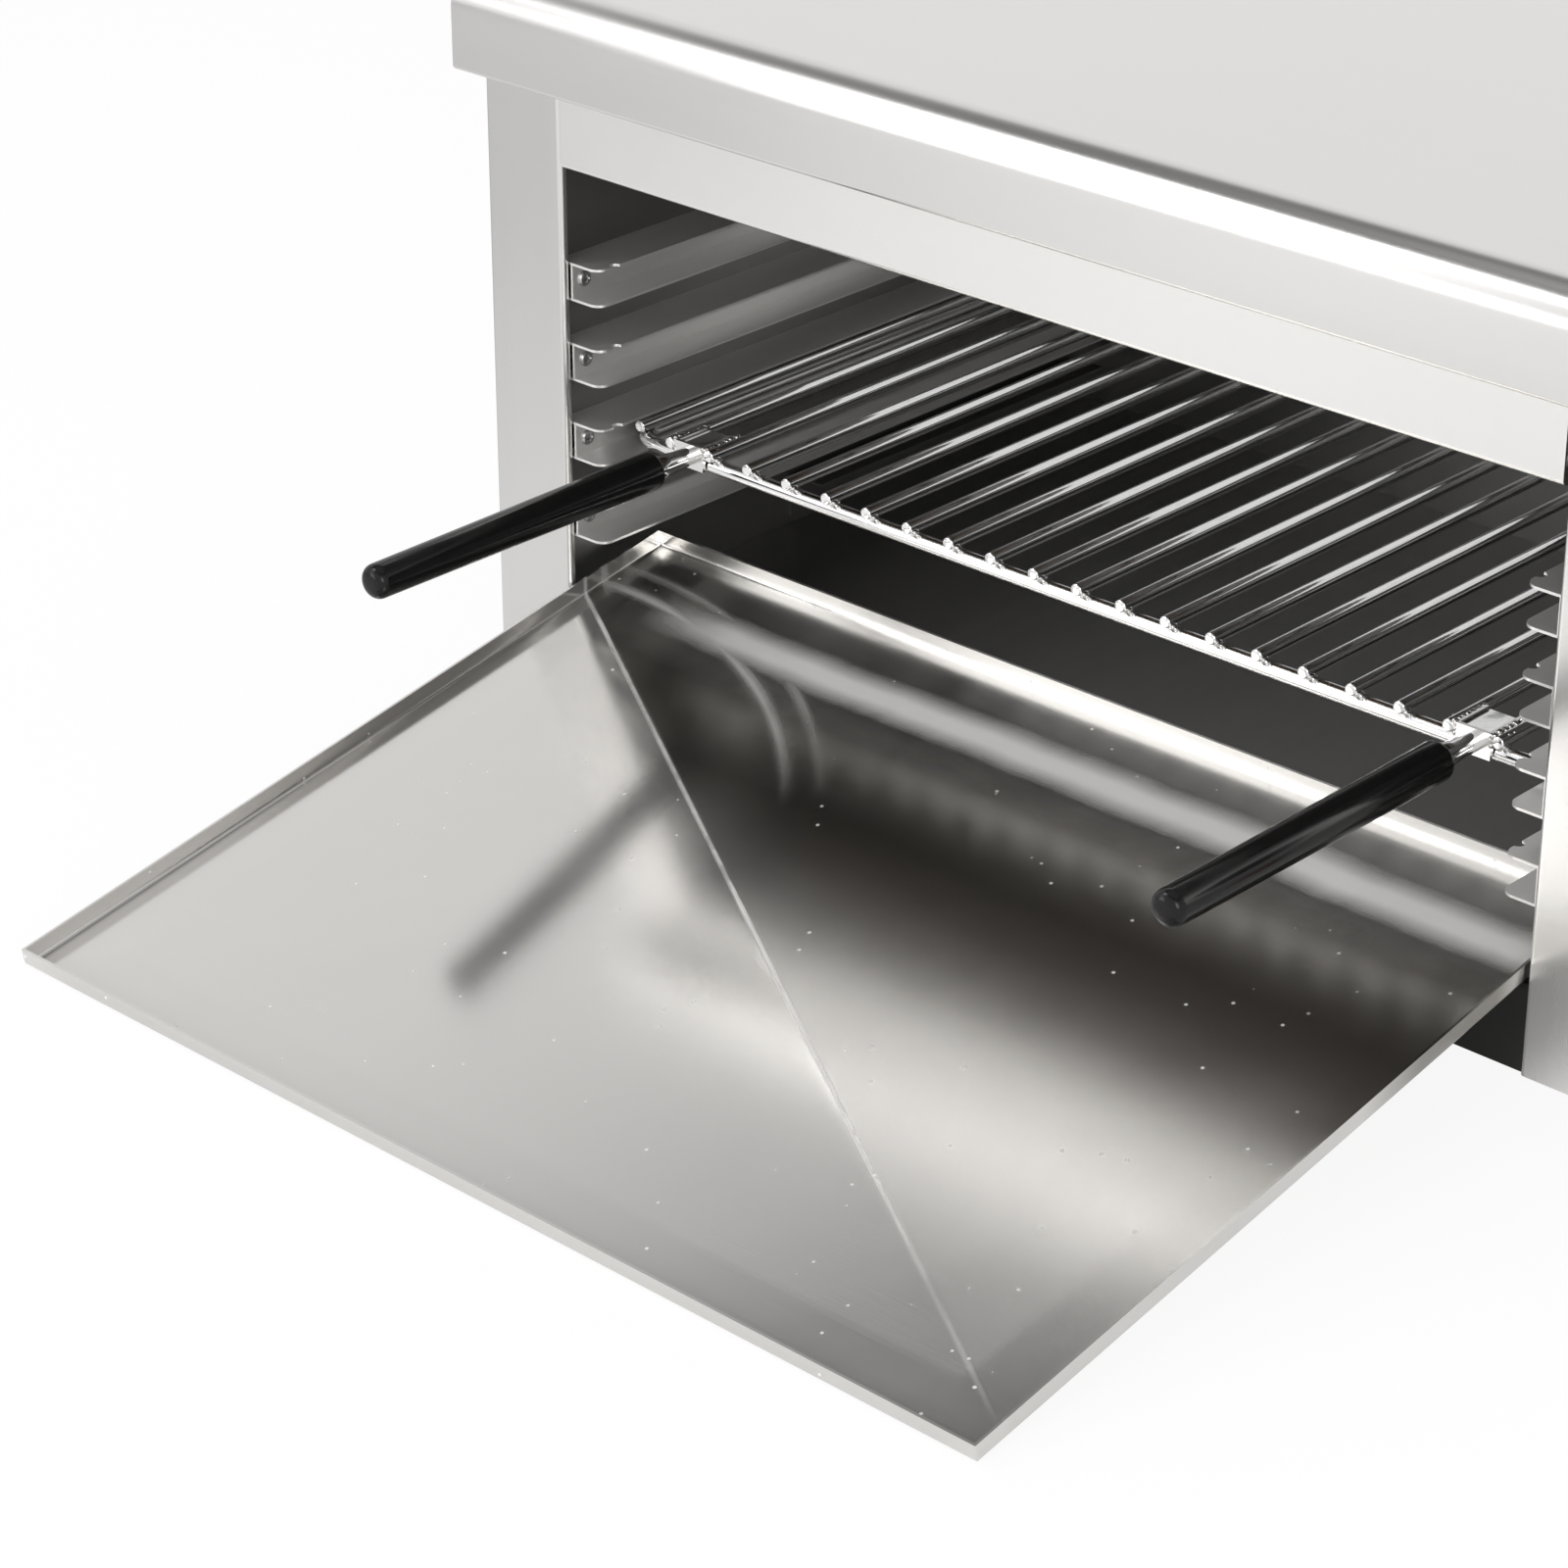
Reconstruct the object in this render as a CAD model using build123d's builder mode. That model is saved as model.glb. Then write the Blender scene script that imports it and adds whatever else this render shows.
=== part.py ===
from build123d import *
import os
from math import asin, cos, hypot, radians, sin, sqrt, tan

# Counter-top salamander grill: a folded stainless casing with an open front, four pairs of rails,
# a sliding wire rack with two black grips, and a drip tray that draws out and tips onto the worktop.
# Millimetres, +Z up, +Y to the back. The origin is on the worktop, under the middle of the whole
# outline as it stands with the tray drawn out.

# Casing
control_w = 120.0
rear_room = 21.0
foot_h = 17.5
opening_w = 450.0
opening_h = 212.0
post_w = 40.0
fascia_h = 32.5
hood_h = 38.0
hood_out = 14.0
hood_side = 2.0
hood_nose_r = 14.0
hood_hem = 9.0
hood_rear_drop = 16.0
sheet = 1.0
bend_in = 1.0
post_return = 3.0
fascia_return = 12.0
fascia_gap_left = 0.3
fascia_gap_right = 1.8
fit_gap = 0.2

# Cavity
liner_set = 6.0
ceiling_rise = 14.0
floor_rise = 24.0
lip_hem = 8.0
lip_gap = 0.2

# Drip tray
tray_len = 330.0
tray_wall_h = 7.6
tray_sheet = 1.0
tray_side_gap = 0.9
tray_tilt = 10.5
tray_hold = 49.9
tray_lift = 0.4
tray_proud = 10.0
swing_rear = 98.0
tray_rear_gap = 4.0
tray_headroom = 0.9

# Tray ledges
ledge_len = 180.0
ledge_w = 12.0
ledge_foot = 3.0
ledge_gap = 0.3

# Rails
rail_count = 4
rail_pitch = 32.4
rail_h = 15.2
rail_sheet = 1.0
rail_web_set = 1.2
rail_reach = 15.6
rail_set = 3.5
rail_end_gap = 6.0
rail_tip_r = 5.0
notch_r = 2.4
notch_back = 9.0
rail_screw_in = 6.0
rail_screw_r = 1.6
rail_screw_head_r = 3.0
rail_screw_head_h = 1.4
rail_screw_tail = 2.0
screw_gap = 0.1

# Rack, carried by the third rail from the top
rack_rail_count = 3
rack_set = 27.5
rack_rear = 14.5
rack_edge = 8.0
frame_r = 3.0
frame_corner_r = 14.0
rack_gap = 0.3
rod_count = 22
rod_r = 2.5
rod_edge = 5.0
rod_over = 2.0
corner_rod_back = 4.0
rod_round = 0.8
weld_gap = 0.05

# Rack handles
bracket_h = 9.8
bracket_leg = 18.0
bracket_sheet = 1.5
stub_r = 4.8
stub_len = 19.0
stub_flare = 1.0
tang_r = 3.6
tang_len = 70.0
tang_gap = 0.08
grip_r = 6.6
grip_len = 144.0
grip_round = 3.2
grip_rear_round = 2.0
grip_button_r = 2.6
grip_button_h = 1.2

# Heating elements
element_r = 3.5
element_drop = 19.0
element_first = 60.0
element_span = 70.0
element_rear = 54.0
element_end_gap = 30.0
element_tail = 12.0
pin_r = 1.4
pin_len = 9.0
insulator_r = 6.5
insulator_len = 10.0
insulator_gap = 0.15
hanger_inset = 90.0
hanger_margin = 9.0
hanger_gap = 0.2

# Controls
knob_z = 150.0
lamp_z = 213.0
lamp_spread = 17.0
switch_z = 78.0
dial_r = 33.0
dial_t = 0.8
knob_r = 21.0
knob_skirt_h = 4.0
knob_grip_r = 16.0
knob_h = 20.0
knob_gap = 1.0
flute_count = 18
flute_r = 1.5
pointer_w = 1.8
pointer_depth = 0.8
shaft_r = 3.0
shaft_gap = 0.05
shaft_hole_gap = 1.0
stat_size = 36.0
stat_depth = 30.0
stat_bore = 16.0
bulb_r = 3.0
bulb_len = 90.0
capillary_r = 0.9
bulb_drop = 12.0
clip_w = 8.0
clip_wall = 1.0
lens_r = 4.6
lens_out = 3.2
lens_in = 12.0
lens_gap = 0.1
bezel_r = 6.6
bezel_h = 1.6
switch_w = 23.0
switch_h = 32.0
switch_rim = 3.0
switch_wall = 1.6
switch_front = 2.0
switch_depth = 22.0
rocker_half = 11.4
rocker_front = 3.0
rocker_dip = 1.4
rocker_back = 3.0
rocker_gap = 0.5
rocker_throw = 14.0
trunnion_r = 1.5
trunnion_len = 1.0

# Supply
gland_out = 14.0
gland_r = 11.0
gland_thread_r = 8.0
gland_bore_r = 4.5
gland_nut_h = 5.0
gland_x_in = 45.0
gland_z = 52.0
block_w = 18.0
block_len = 58.0
block_h = 20.0
block_ways = 4
block_in = 110.0
lead_r = 1.4
lead_bend = 8.0
lead_rise = 20.0
lead_tie = 40.0
lead_back = 20.0
lead_gap = 2.0

# Feet and fasteners
foot_r = 14.0
foot_taper = 2.0
foot_inset = 48.0
foot_recess_r = 6.0
foot_recess_h = 8.0
foot_screw_r = 2.5
foot_screw_head_r = 4.6
foot_screw_head_h = 3.0
foot_nut_h = 4.0
screw_r = 1.7
screw_head_r = 3.4
screw_head_h = 1.5
screw_len = 7.0
screw_edge = 22.0
base_dome_r = 2.4
base_dome_count = 5
base_dome_edge = 11.0
base_dome_in = 7.0
slot_w = 4.0
slot_len = 50.0
slot_pitch = 12.0
slot_count = 7

# Places worked out from the sizes above
bend = bend_in + sheet
tilt = radians(tray_tilt)
half_open = opening_w / 2
body_w = post_w + opening_w + control_w
x_left = -body_w / 2
x_right = body_w / 2
x_open_l = x_left + post_w
x_open_r = x_open_l + opening_w
x_mid = (x_open_l + x_open_r) / 2
x_panel = (x_open_r + x_right) / 2
cavity_d = tray_len - tray_proud + tray_rear_gap
body_d = cavity_d + rear_room
tray_reach = tray_len * cos(tilt) - tray_hold + tray_wall_h * sin(tilt)
total_d = tray_reach + body_d + gland_out
y_front = tray_reach - total_d / 2
y_back = y_front + body_d
y_cavity = y_front + cavity_d
y_panel_back = y_back - sheet
y_base = y_front + post_return
y_hood = y_front - hood_out
z_base = foot_h
z_open = z_base + opening_h
z_hood = z_open + fascia_h
z_top = z_hood + hood_h
z_under_hood = z_top - sheet
z_back_top = z_under_hood - bend_in - fit_gap
z_ceiling = z_open + ceiling_rise
z_floor = z_base + floor_rise

# The tray goes from its tipped place to its level place on one long arc about a pole far below the
# worktop. The lip, the ledges and the lowest rail all keep clear of that arc.
tray_w = opening_w - 2 * tray_side_gap
y_tray = y_front - tray_reach + tray_wall_h * sin(tilt)
tray_travel = y_front - tray_proud - y_tray
tray_swing = tray_len - swing_rear
swing_r = (tray_travel + tray_swing * (1 - cos(tilt))) / sin(tilt)
y_pole = y_front - tray_proud + tray_swing
z_pole = tray_lift + tray_swing * sin(tilt) - swing_r * cos(tilt)
z_stow = z_pole + swing_r
y_lip = y_base - sheet
lip_angle = min(tilt, asin((y_pole - y_lip) / swing_r))
z_lip = z_pole + swing_r / cos(lip_angle) + (y_lip - y_pole) * tan(lip_angle) - lip_gap
z_tray_top = z_pole + hypot(swing_r + tray_wall_h, tray_len - tray_swing)
z_ledge = z_pole + sqrt(swing_r**2 - (ledge_len / 2) ** 2) - ledge_gap

# Distances of the rail's faces from the middle of the opening
rail_outer = half_open + liner_set
rail_web = half_open - rail_web_set
rail_tip = half_open - rail_reach
y_rail = y_front + rail_set
y_rail_end = y_cavity - rail_end_gap
rail_low = z_tray_top + tray_headroom
rail_lows = [rail_low + rail_pitch * (rail_count - 1 - level) for level in range(rail_count)]
rail_screw_ys = [y_rail + rail_screw_in, y_rail_end - rail_screw_in]

# Rack
y_rack = y_front + rack_set
y_rack_end = y_cavity - rack_rear
rack_half = half_open - rack_edge
z_frame = rail_lows[rack_rail_count - 1] + rail_sheet + rack_gap + frame_r
z_rods = z_frame + frame_r + weld_gap + rod_r
rod_half = rack_half - rod_edge
rod_pitch = 2 * rod_half / (rod_count - 1)
handle_x = rod_half - 1.5 * rod_pitch
y_rod_end = y_rack - frame_r - rod_over
z_rod_top = z_rods + rod_r
z_stub = z_rod_top - bracket_h / 2
y_grip = y_rod_end - stub_len

# Elements and controls
z_element = z_ceiling - element_drop
x_element_end = x_open_l + element_end_gap
x_liner_out = x_open_r + liner_set + sheet
x_element_tail = x_liner_out + element_tail
element_pitch = cavity_d - element_first - element_span - element_rear
element_ys = [y_front + element_first + element_pitch * pair for pair in range(2)]
x_pin_end = x_element_tail + pin_len
y_stat = y_front + sheet
rocker_open_w = switch_w - 2 * switch_rim
rocker_open_h = switch_h - 2 * switch_rim
switch_body_w = rocker_open_w + 2 * switch_wall
switch_body_h = rocker_open_h + 2 * switch_wall
y_rocker = y_front

FRONT = (0, -1, 0)


def front_plane(y, x=0.0, z=0.0):
    """A sketch plane facing the front, with its own X along X and its own Y along Z."""
    return Plane(origin=(x, y, z), x_dir=(1, 0, 0), z_dir=FRONT)


def sheet_outline(points, radii, thickness, side):
    """The cut edge of a folded sheet: a line with rounded folds, and the same line offset by the sheet."""
    with BuildSketch() as outline:
        with BuildLine():
            FilletPolyline(*points, radius=radii)
            offset(amount=thickness, side=side)
        make_face()
    return outline.sketch


def along_x(x, y, z):
    """A place whose own Z points along X."""
    return Location((x, y, z), (0, 90, 0))


def along_y(x, y, z):
    """A place whose own Z points to the front, against Y."""
    return Location((x, y, z), (90, 0, 0))


os.makedirs("parts", exist_ok=True)


def keep(piece, name):
    """Label a finished piece and write it under its own name."""
    piece.label = name
    export_step(piece, f"parts/{name}.step")


# Places of fasteners that two pieces share
foot_places = [
    (x_left + foot_inset, y_front + foot_inset),
    (x_right - foot_inset, y_front + foot_inset),
    (x_left + foot_inset, y_back - foot_inset),
    (x_right - foot_inset, y_back - foot_inset),
]
back_screw_places = [
    (x_left + screw_edge, z_base + screw_edge),
    (x_right - screw_edge, z_base + screw_edge),
    (x_left + screw_edge, z_hood - screw_edge),
    (x_right - screw_edge, z_hood - screw_edge),
]
hood_screw_ys = [y_front + screw_edge * 2, y_back - screw_edge * 2]
z_hood_screw = z_hood + hood_h / 3
panel_screw_places = [
    (x_right - fascia_return / 2, z_base + screw_edge),
    (x_right - fascia_return / 2, z_hood - screw_edge),
]
base_dome_xs = [
    x_open_l + base_dome_edge + i * (opening_w - 2 * base_dome_edge) / (base_dome_count - 1)
    for i in range(base_dome_count)
]
gland_x = x_right - gland_x_in
z_switch = z_base + switch_z
z_knob = z_base + knob_z
z_lamp = z_base + lamp_z
lamp_xs = [x_panel - lamp_spread, x_panel + lamp_spread]

# Base panel: the flat bottom sheet, drilled for the feet and the front screws
with BuildPart() as base_panel:
    with BuildSketch(Plane.XY.offset(z_base)):
        with Locations((0, (y_base + y_panel_back) / 2)):
            Rectangle(body_w - 2 * sheet, y_panel_back - y_base)
        with Locations(*foot_places):
            Circle(foot_screw_r + screw_gap, mode=Mode.SUBTRACT)
        with Locations(*[(x, y_front + base_dome_in) for x in base_dome_xs]):
            Circle(screw_r + screw_gap, mode=Mode.SUBTRACT)
    extrude(amount=sheet)
base_panel.part.label = "base_panel"
export_step(base_panel.part, "parts/base_panel.step")

# Left side shell: the side sheet, folded round the front into the post and its short return
with BuildPart() as left_side_shell:
    with BuildSketch(Plane.XY.offset(z_base)):
        add(sheet_outline(
            [(x_left, y_panel_back), (x_left, y_front), (x_open_l, y_front),
             (x_open_l, y_front + post_return)],
            bend, sheet, Side.LEFT))
    extrude(amount=z_under_hood - z_base)
    rear_top = left_side_shell.edges().filter_by(Axis.X).group_by(Axis.Y)[-1].sort_by(Axis.Z)[-1]
    chamfer(rear_top, bend_in + fit_gap)
    with Locations(*[along_x(x_left + sheet / 2, y, z_hood_screw) for y in hood_screw_ys]):
        Cylinder(screw_r + screw_gap, 3 * sheet, mode=Mode.SUBTRACT)
left_side_shell.part.label = "left_side_shell"
export_step(left_side_shell.part, "parts/left_side_shell.step")

# Right side shell: the side sheet, with a flange behind the control panel
with BuildPart() as right_side_shell:
    with BuildSketch(Plane.XY.offset(z_base)):
        add(sheet_outline(
            [(x_right, y_panel_back), (x_right, y_front + sheet), (x_right - fascia_return, y_front + sheet)],
            bend, sheet, Side.RIGHT))
    extrude(amount=z_under_hood - z_base)
    rear_top = right_side_shell.edges().filter_by(Axis.X).group_by(Axis.Y)[-1].sort_by(Axis.Z)[-1]
    chamfer(rear_top, bend_in + fit_gap)
    with Locations(*[along_x(x_right - sheet / 2, y, z_hood_screw) for y in hood_screw_ys]):
        Cylinder(screw_r + screw_gap, 3 * sheet, mode=Mode.SUBTRACT)
    with Locations(*[along_y(x, y_front + 1.5 * sheet, z) for x, z in panel_screw_places]):
        Cylinder(screw_r + screw_gap, 2 * sheet, mode=Mode.SUBTRACT)
right_side_shell.part.label = "right_side_shell"
export_step(right_side_shell.part, "parts/right_side_shell.step")

# Back panel: a flat sheet with cooling slots behind the controls, and the gland's hole
with BuildPart() as back_panel:
    with BuildSketch(front_plane(y_panel_back)):
        with Locations((0, (z_base + sheet + z_back_top) / 2)):
            Rectangle(body_w - 2 * sheet - 2 * fit_gap, z_back_top - z_base - sheet)
        with Locations((gland_x, gland_z)):
            Circle(gland_thread_r + screw_gap, mode=Mode.SUBTRACT)
        with Locations(*back_screw_places):
            Circle(screw_r + screw_gap, mode=Mode.SUBTRACT)
        with Locations((x_panel, z_knob)):
            with GridLocations(1, slot_pitch, 1, slot_count):
                SlotOverall(slot_len, slot_w, mode=Mode.SUBTRACT)
    extrude(amount=sheet)
back_panel.part.label = "back_panel"
export_step(back_panel.part, "parts/back_panel.step")

# Top hood: hem, front face, bullnose, flat top and rear flange in one folded sheet
with BuildPart() as top_hood:
    with BuildSketch(Plane.YZ.offset(x_left - hood_side)):
        add(sheet_outline(
            [(y_hood + hood_hem, z_hood), (y_hood, z_hood), (y_hood, z_top), (y_back, z_top),
             (y_back, z_top - hood_rear_drop)],
            [bend, hood_nose_r, bend], sheet, Side.RIGHT))
    extrude(amount=body_w + 2 * hood_side)
top_hood.part.label = "top_hood"
export_step(top_hood.part, "parts/top_hood.step")


def hood_end(x):
    """A plate that closes one end of the hood, inside its fold, with the two hood screws' holes."""
    nose = hood_nose_r - sheet
    ease = bend_in + fit_gap
    y_in = y_hood + sheet
    y_out = y_back - sheet
    low = z_hood + sheet
    with BuildPart() as plate:
        with BuildSketch(Plane.YZ.offset(x)):
            with BuildLine():
                Polyline((y_in, z_under_hood - nose), (y_in, low + ease), (y_in + ease, low), (y_out, low),
                         (y_out, z_under_hood - ease), (y_out - ease, z_under_hood),
                         (y_in + nose, z_under_hood))
                RadiusArc((y_in + nose, z_under_hood), (y_in, z_under_hood - nose), -nose)
            make_face()
        extrude(amount=sheet)
        with Locations(*[along_x(x + sheet / 2, y, z_hood_screw) for y in hood_screw_ys]):
            Cylinder(screw_r + screw_gap, 3 * sheet, mode=Mode.SUBTRACT)
    return plate.part


keep(hood_end(x_left - hood_side), "hood_left_end")
keep(hood_end(x_right + hood_side - sheet), "hood_right_end")

# Front fascia: the strip over the opening, with its lower edge folded back
with BuildPart() as front_fascia:
    with BuildSketch(Plane.YZ.offset(x_open_l + fascia_gap_left)):
        add(sheet_outline(
            [(y_front, z_under_hood), (y_front, z_open), (y_front + fascia_return, z_open)],
            bend, sheet, Side.LEFT))
    extrude(amount=opening_w - fascia_gap_left - fascia_gap_right)
front_fascia.part.label = "front_fascia"
export_step(front_fascia.part, "parts/front_fascia.step")

# Lower front panel: in front of the base's edge, ending in the lip that the tray is drawn over
with BuildPart() as lower_front_panel:
    with BuildSketch(Plane.YZ.offset(x_open_l + fit_gap)):
        add(sheet_outline(
            [(y_lip, z_base), (y_lip, z_lip), (y_lip + lip_hem, z_lip)],
            bend, sheet, Side.RIGHT))
    extrude(amount=opening_w - 2 * fit_gap)
lower_front_panel.part.label = "lower_front_panel"
export_step(lower_front_panel.part, "parts/lower_front_panel.step")

# Control panel: the wide right front, with its short return at the opening and the controls' holes
with BuildPart() as control_panel:
    with BuildSketch(Plane.XY.offset(z_base)):
        add(sheet_outline(
            [(x_open_r, y_front + post_return), (x_open_r, y_front), (x_right, y_front)],
            bend, sheet, Side.LEFT))
    extrude(amount=z_under_hood - z_base)
    with BuildSketch(front_plane(y_front + sheet)):
        with Locations((x_panel, z_knob)):
            Circle(shaft_r + shaft_hole_gap)
        with Locations(*[(x, z_lamp) for x in lamp_xs]):
            Circle(lens_r + lens_gap)
        with Locations((x_panel, z_switch)):
            Rectangle(switch_body_w + 2 * fit_gap, switch_body_h + 2 * fit_gap)
        with Locations(*panel_screw_places):
            Circle(screw_r + screw_gap)
    extrude(amount=sheet, mode=Mode.SUBTRACT)
control_panel.part.label = "control_panel"
export_step(control_panel.part, "parts/control_panel.step")


def side_liner(x, reach):
    """A cavity side sheet with the rail screws' holes; reach says which way its outer face lies."""
    with BuildPart() as plate:
        with BuildSketch(Plane.YZ.offset(x)):
            with Locations(((y_front + sheet + y_cavity) / 2, (z_floor + z_ceiling + sheet) / 2)):
                Rectangle(y_cavity - y_front - sheet, z_ceiling - z_floor + sheet)
        extrude(amount=reach)
        holes = [along_x(x + reach / 2, y, low + rail_h / 2) for low in rail_lows for y in rail_screw_ys]
        with Locations(*holes):
            Cylinder(rail_screw_r + screw_gap, 3 * sheet, mode=Mode.SUBTRACT)
    return plate.part


# Cavity liners
keep(side_liner(x_open_l - liner_set, -sheet), "cavity_left_liner")

element_legs = [(y + leg * element_span, z_element) for y in element_ys for leg in range(2)]
y_bulb = y_cavity - element_first / 2
z_bulb = z_ceiling - bulb_drop
right_blank = side_liner(x_open_r + liner_set, sheet)
with BuildPart() as cavity_right_liner:
    add(right_blank)
    with Locations(*[along_x(x_open_r + liner_set + sheet / 2, y, z) for y, z in element_legs]):
        Cylinder(element_r + insulator_gap, 3 * sheet, mode=Mode.SUBTRACT)
    with Locations(along_x(x_open_r + liner_set + sheet / 2, y_bulb, z_bulb)):
        Cylinder(capillary_r + screw_gap, 3 * sheet, mode=Mode.SUBTRACT)
cavity_right_liner.part.label = "cavity_right_liner"
export_step(cavity_right_liner.part, "parts/cavity_right_liner.step")

with BuildPart() as cavity_back_liner:
    with BuildSketch(front_plane(y_cavity + sheet)):
        with Locations((x_mid, (z_floor + z_ceiling + sheet) / 2)):
            Rectangle(opening_w + 2 * liner_set + 2 * sheet, z_ceiling - z_floor + sheet)
    extrude(amount=sheet)
cavity_back_liner.part.label = "cavity_back_liner"
export_step(cavity_back_liner.part, "parts/cavity_back_liner.step")

with BuildPart() as cavity_ceiling:
    with BuildSketch(Plane.XY.offset(z_ceiling)):
        with Locations((x_mid, (y_base + y_cavity) / 2)):
            Rectangle(opening_w + 2 * liner_set, y_cavity - y_base)
    extrude(amount=sheet)
cavity_ceiling.part.label = "cavity_ceiling"
export_step(cavity_ceiling.part, "parts/cavity_ceiling.step")

with BuildPart() as cavity_floor:
    with BuildSketch(Plane.XY.offset(z_floor)):
        with Locations((x_mid, (y_base + y_cavity) / 2)):
            Rectangle(opening_w + 2 * liner_set, y_cavity - y_base)
    extrude(amount=sheet)
cavity_floor.part.label = "cavity_floor"
export_step(cavity_floor.part, "parts/cavity_floor.step")


def rail(side, low):
    """One I-section rail: flanges back to the liner and into the opening, rounded and notched in front."""
    y_notch = y_rail + notch_back
    with BuildPart() as bar:
        with BuildSketch(front_plane(y_rail_end, x_mid, low)):
            with Locations((side * (rail_outer + rail_tip) / 2, rail_sheet / 2),
                           (side * (rail_outer + rail_tip) / 2, rail_h - rail_sheet / 2)):
                Rectangle(rail_outer - rail_tip, rail_sheet)
            with Locations((side * rail_web, rail_h / 2)):
                Rectangle(rail_sheet, rail_h)
        extrude(amount=y_rail_end - y_rail)
        uprights = bar.edges().filter_by(Axis.Z).group_by(Axis.Y)[0].sort_by(Axis.X)
        fillet(uprights[:2] if side > 0 else uprights[-2:], rail_tip_r)
        with Locations((x_mid + side * rail_tip, y_notch, low + rail_h - rail_sheet / 2)):
            Cylinder(notch_r, 3 * rail_sheet, mode=Mode.SUBTRACT)
        with Locations(*[along_x(x_mid + side * rail_web, y, low + rail_h / 2) for y in rail_screw_ys]):
            Cylinder(rail_screw_r + screw_gap, 3 * rail_sheet, mode=Mode.SUBTRACT)
    return bar.part


def rail_screws(side):
    """Two screws through each rail's web and the liner behind it."""
    head_face = rail_web - rail_sheet / 2
    tail_face = rail_outer + sheet + rail_screw_tail
    with BuildPart() as screws:
        for low in rail_lows:
            for y in rail_screw_ys:
                z = low + rail_h / 2
                with Locations(along_x(x_mid + side * (head_face - rail_screw_head_h / 2), y, z)):
                    Cylinder(rail_screw_head_r, rail_screw_head_h)
                with Locations(along_x(x_mid + side * (head_face + tail_face) / 2, y, z)):
                    Cylinder(rail_screw_r, tail_face - head_face)
    return screws.part


def tray_ledge(side):
    """An angle on the liner that carries one edge of the tray when it is pushed in."""
    start = (x_mid + side * rail_outer, z_floor + sheet + ledge_foot)
    corner = (x_mid + side * rail_outer, z_ledge)
    tip = (x_mid + side * (half_open - ledge_w), z_ledge)
    with BuildPart() as angle:
        with BuildSketch(front_plane(y_pole + ledge_len / 2)):
            add(sheet_outline([start, corner, tip], bend, sheet, Side.LEFT if side > 0 else Side.RIGHT))
        extrude(amount=ledge_len)
    return angle.part


for side, word in ((-1, "left"), (1, "right")):
    for level, low in enumerate(rail_lows):
        keep(rail(side, low), f"{word}_rail_{level + 1}")
    keep(rail_screws(side), f"{word}_rail_screws")
    keep(tray_ledge(side), f"{word}_tray_ledge")


def element(y):
    """A sheathed hairpin element: two legs from the right liner, one bend at the left, a pin at each end."""
    bend_r = element_span / 2
    y_far = y + element_span
    with BuildPart() as tube:
        with BuildLine() as path:
            Polyline((x_element_tail, y, z_element), (x_element_end + bend_r, y, z_element))
            ThreePointArc((x_element_end + bend_r, y, z_element), (x_element_end, y + bend_r, z_element),
                          (x_element_end + bend_r, y_far, z_element))
            Polyline((x_element_end + bend_r, y_far, z_element), (x_element_tail, y_far, z_element))
        with BuildSketch(Plane(origin=(x_element_tail, y, z_element), z_dir=(-1, 0, 0))):
            Circle(element_r)
        sweep(path=path.line)
        with Locations(along_x(x_element_tail + pin_len / 2, y, z_element),
                       along_x(x_element_tail + pin_len / 2, y_far, z_element)):
            Cylinder(pin_r, pin_len)
    return tube.part


keep(element(element_ys[0]), "front_heating_element")
keep(element(element_ys[1]), "rear_heating_element")

# Ceramic insulators round the element ends, outside the right liner
with BuildPart() as element_insulators:
    with Locations(*[along_x(x_liner_out + insulator_len / 2, y, z) for y, z in element_legs]):
        Cylinder(insulator_r, insulator_len)
        Cylinder(element_r + insulator_gap, insulator_len, mode=Mode.SUBTRACT)
element_insulators.part.label = "element_insulators"
export_step(element_insulators.part, "parts/element_insulators.step")

# Hangers: strips under the ceiling, each holding both legs of an element
with BuildPart() as element_hangers:
    for x in (x_open_l + hanger_inset, x_open_r - hanger_inset):
        for y in element_ys:
            legs = [(y, z_element), (y + element_span, z_element)]
            low = z_element - element_r - hanger_margin / 2
            with BuildSketch(Plane.YZ.offset(x)):
                with Locations((y + element_span / 2, (low + z_ceiling) / 2)):
                    Rectangle(element_span + 2 * hanger_margin, z_ceiling - low)
                with Locations(*legs):
                    Circle(element_r + hanger_gap, mode=Mode.SUBTRACT)
            extrude(amount=sheet)
element_hangers.part.label = "element_hangers"
export_step(element_hangers.part, "parts/element_hangers.step")

# Dial plate behind the temperature knob
with BuildPart() as dial_plate:
    with BuildSketch(front_plane(y_front, x_panel, z_knob)):
        Circle(dial_r)
        Circle(shaft_r + shaft_hole_gap, mode=Mode.SUBTRACT)
    extrude(amount=dial_t)
    front_rims = dial_plate.edges().filter_by(GeomType.CIRCLE).group_by(Axis.Y)[0]
    chamfer(front_rims.sort_by(SortBy.RADIUS)[-1:], dial_t / 2)
dial_plate.part.label = "dial_plate"
export_step(dial_plate.part, "parts/dial_plate.step")

# Thermostat: switch body behind the panel, bored for the shaft
with BuildPart() as thermostat_body:
    with BuildSketch(front_plane(y_stat + stat_depth, x_panel, z_knob)):
        RectangleRounded(stat_size, stat_size, bend)
    extrude(amount=stat_depth)
    with Locations(along_y(x_panel, y_stat + stat_bore / 2, z_knob)):
        Cylinder(shaft_r + shaft_gap, stat_bore, mode=Mode.SUBTRACT)
thermostat_body.part.label = "thermostat_body"
export_step(thermostat_body.part, "parts/thermostat_body.step")

y_knob = y_front - dial_t - knob_gap
shaft_tip = y_knob - knob_h / 2
shaft_end = y_stat + stat_bore - knob_gap / 2
with BuildPart() as thermostat_shaft:
    with Locations(along_y(x_panel, (shaft_tip + shaft_end) / 2, z_knob)):
        Cylinder(shaft_r, shaft_end - shaft_tip)
thermostat_shaft.part.label = "thermostat_shaft"
export_step(thermostat_shaft.part, "parts/thermostat_shaft.step")

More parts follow.
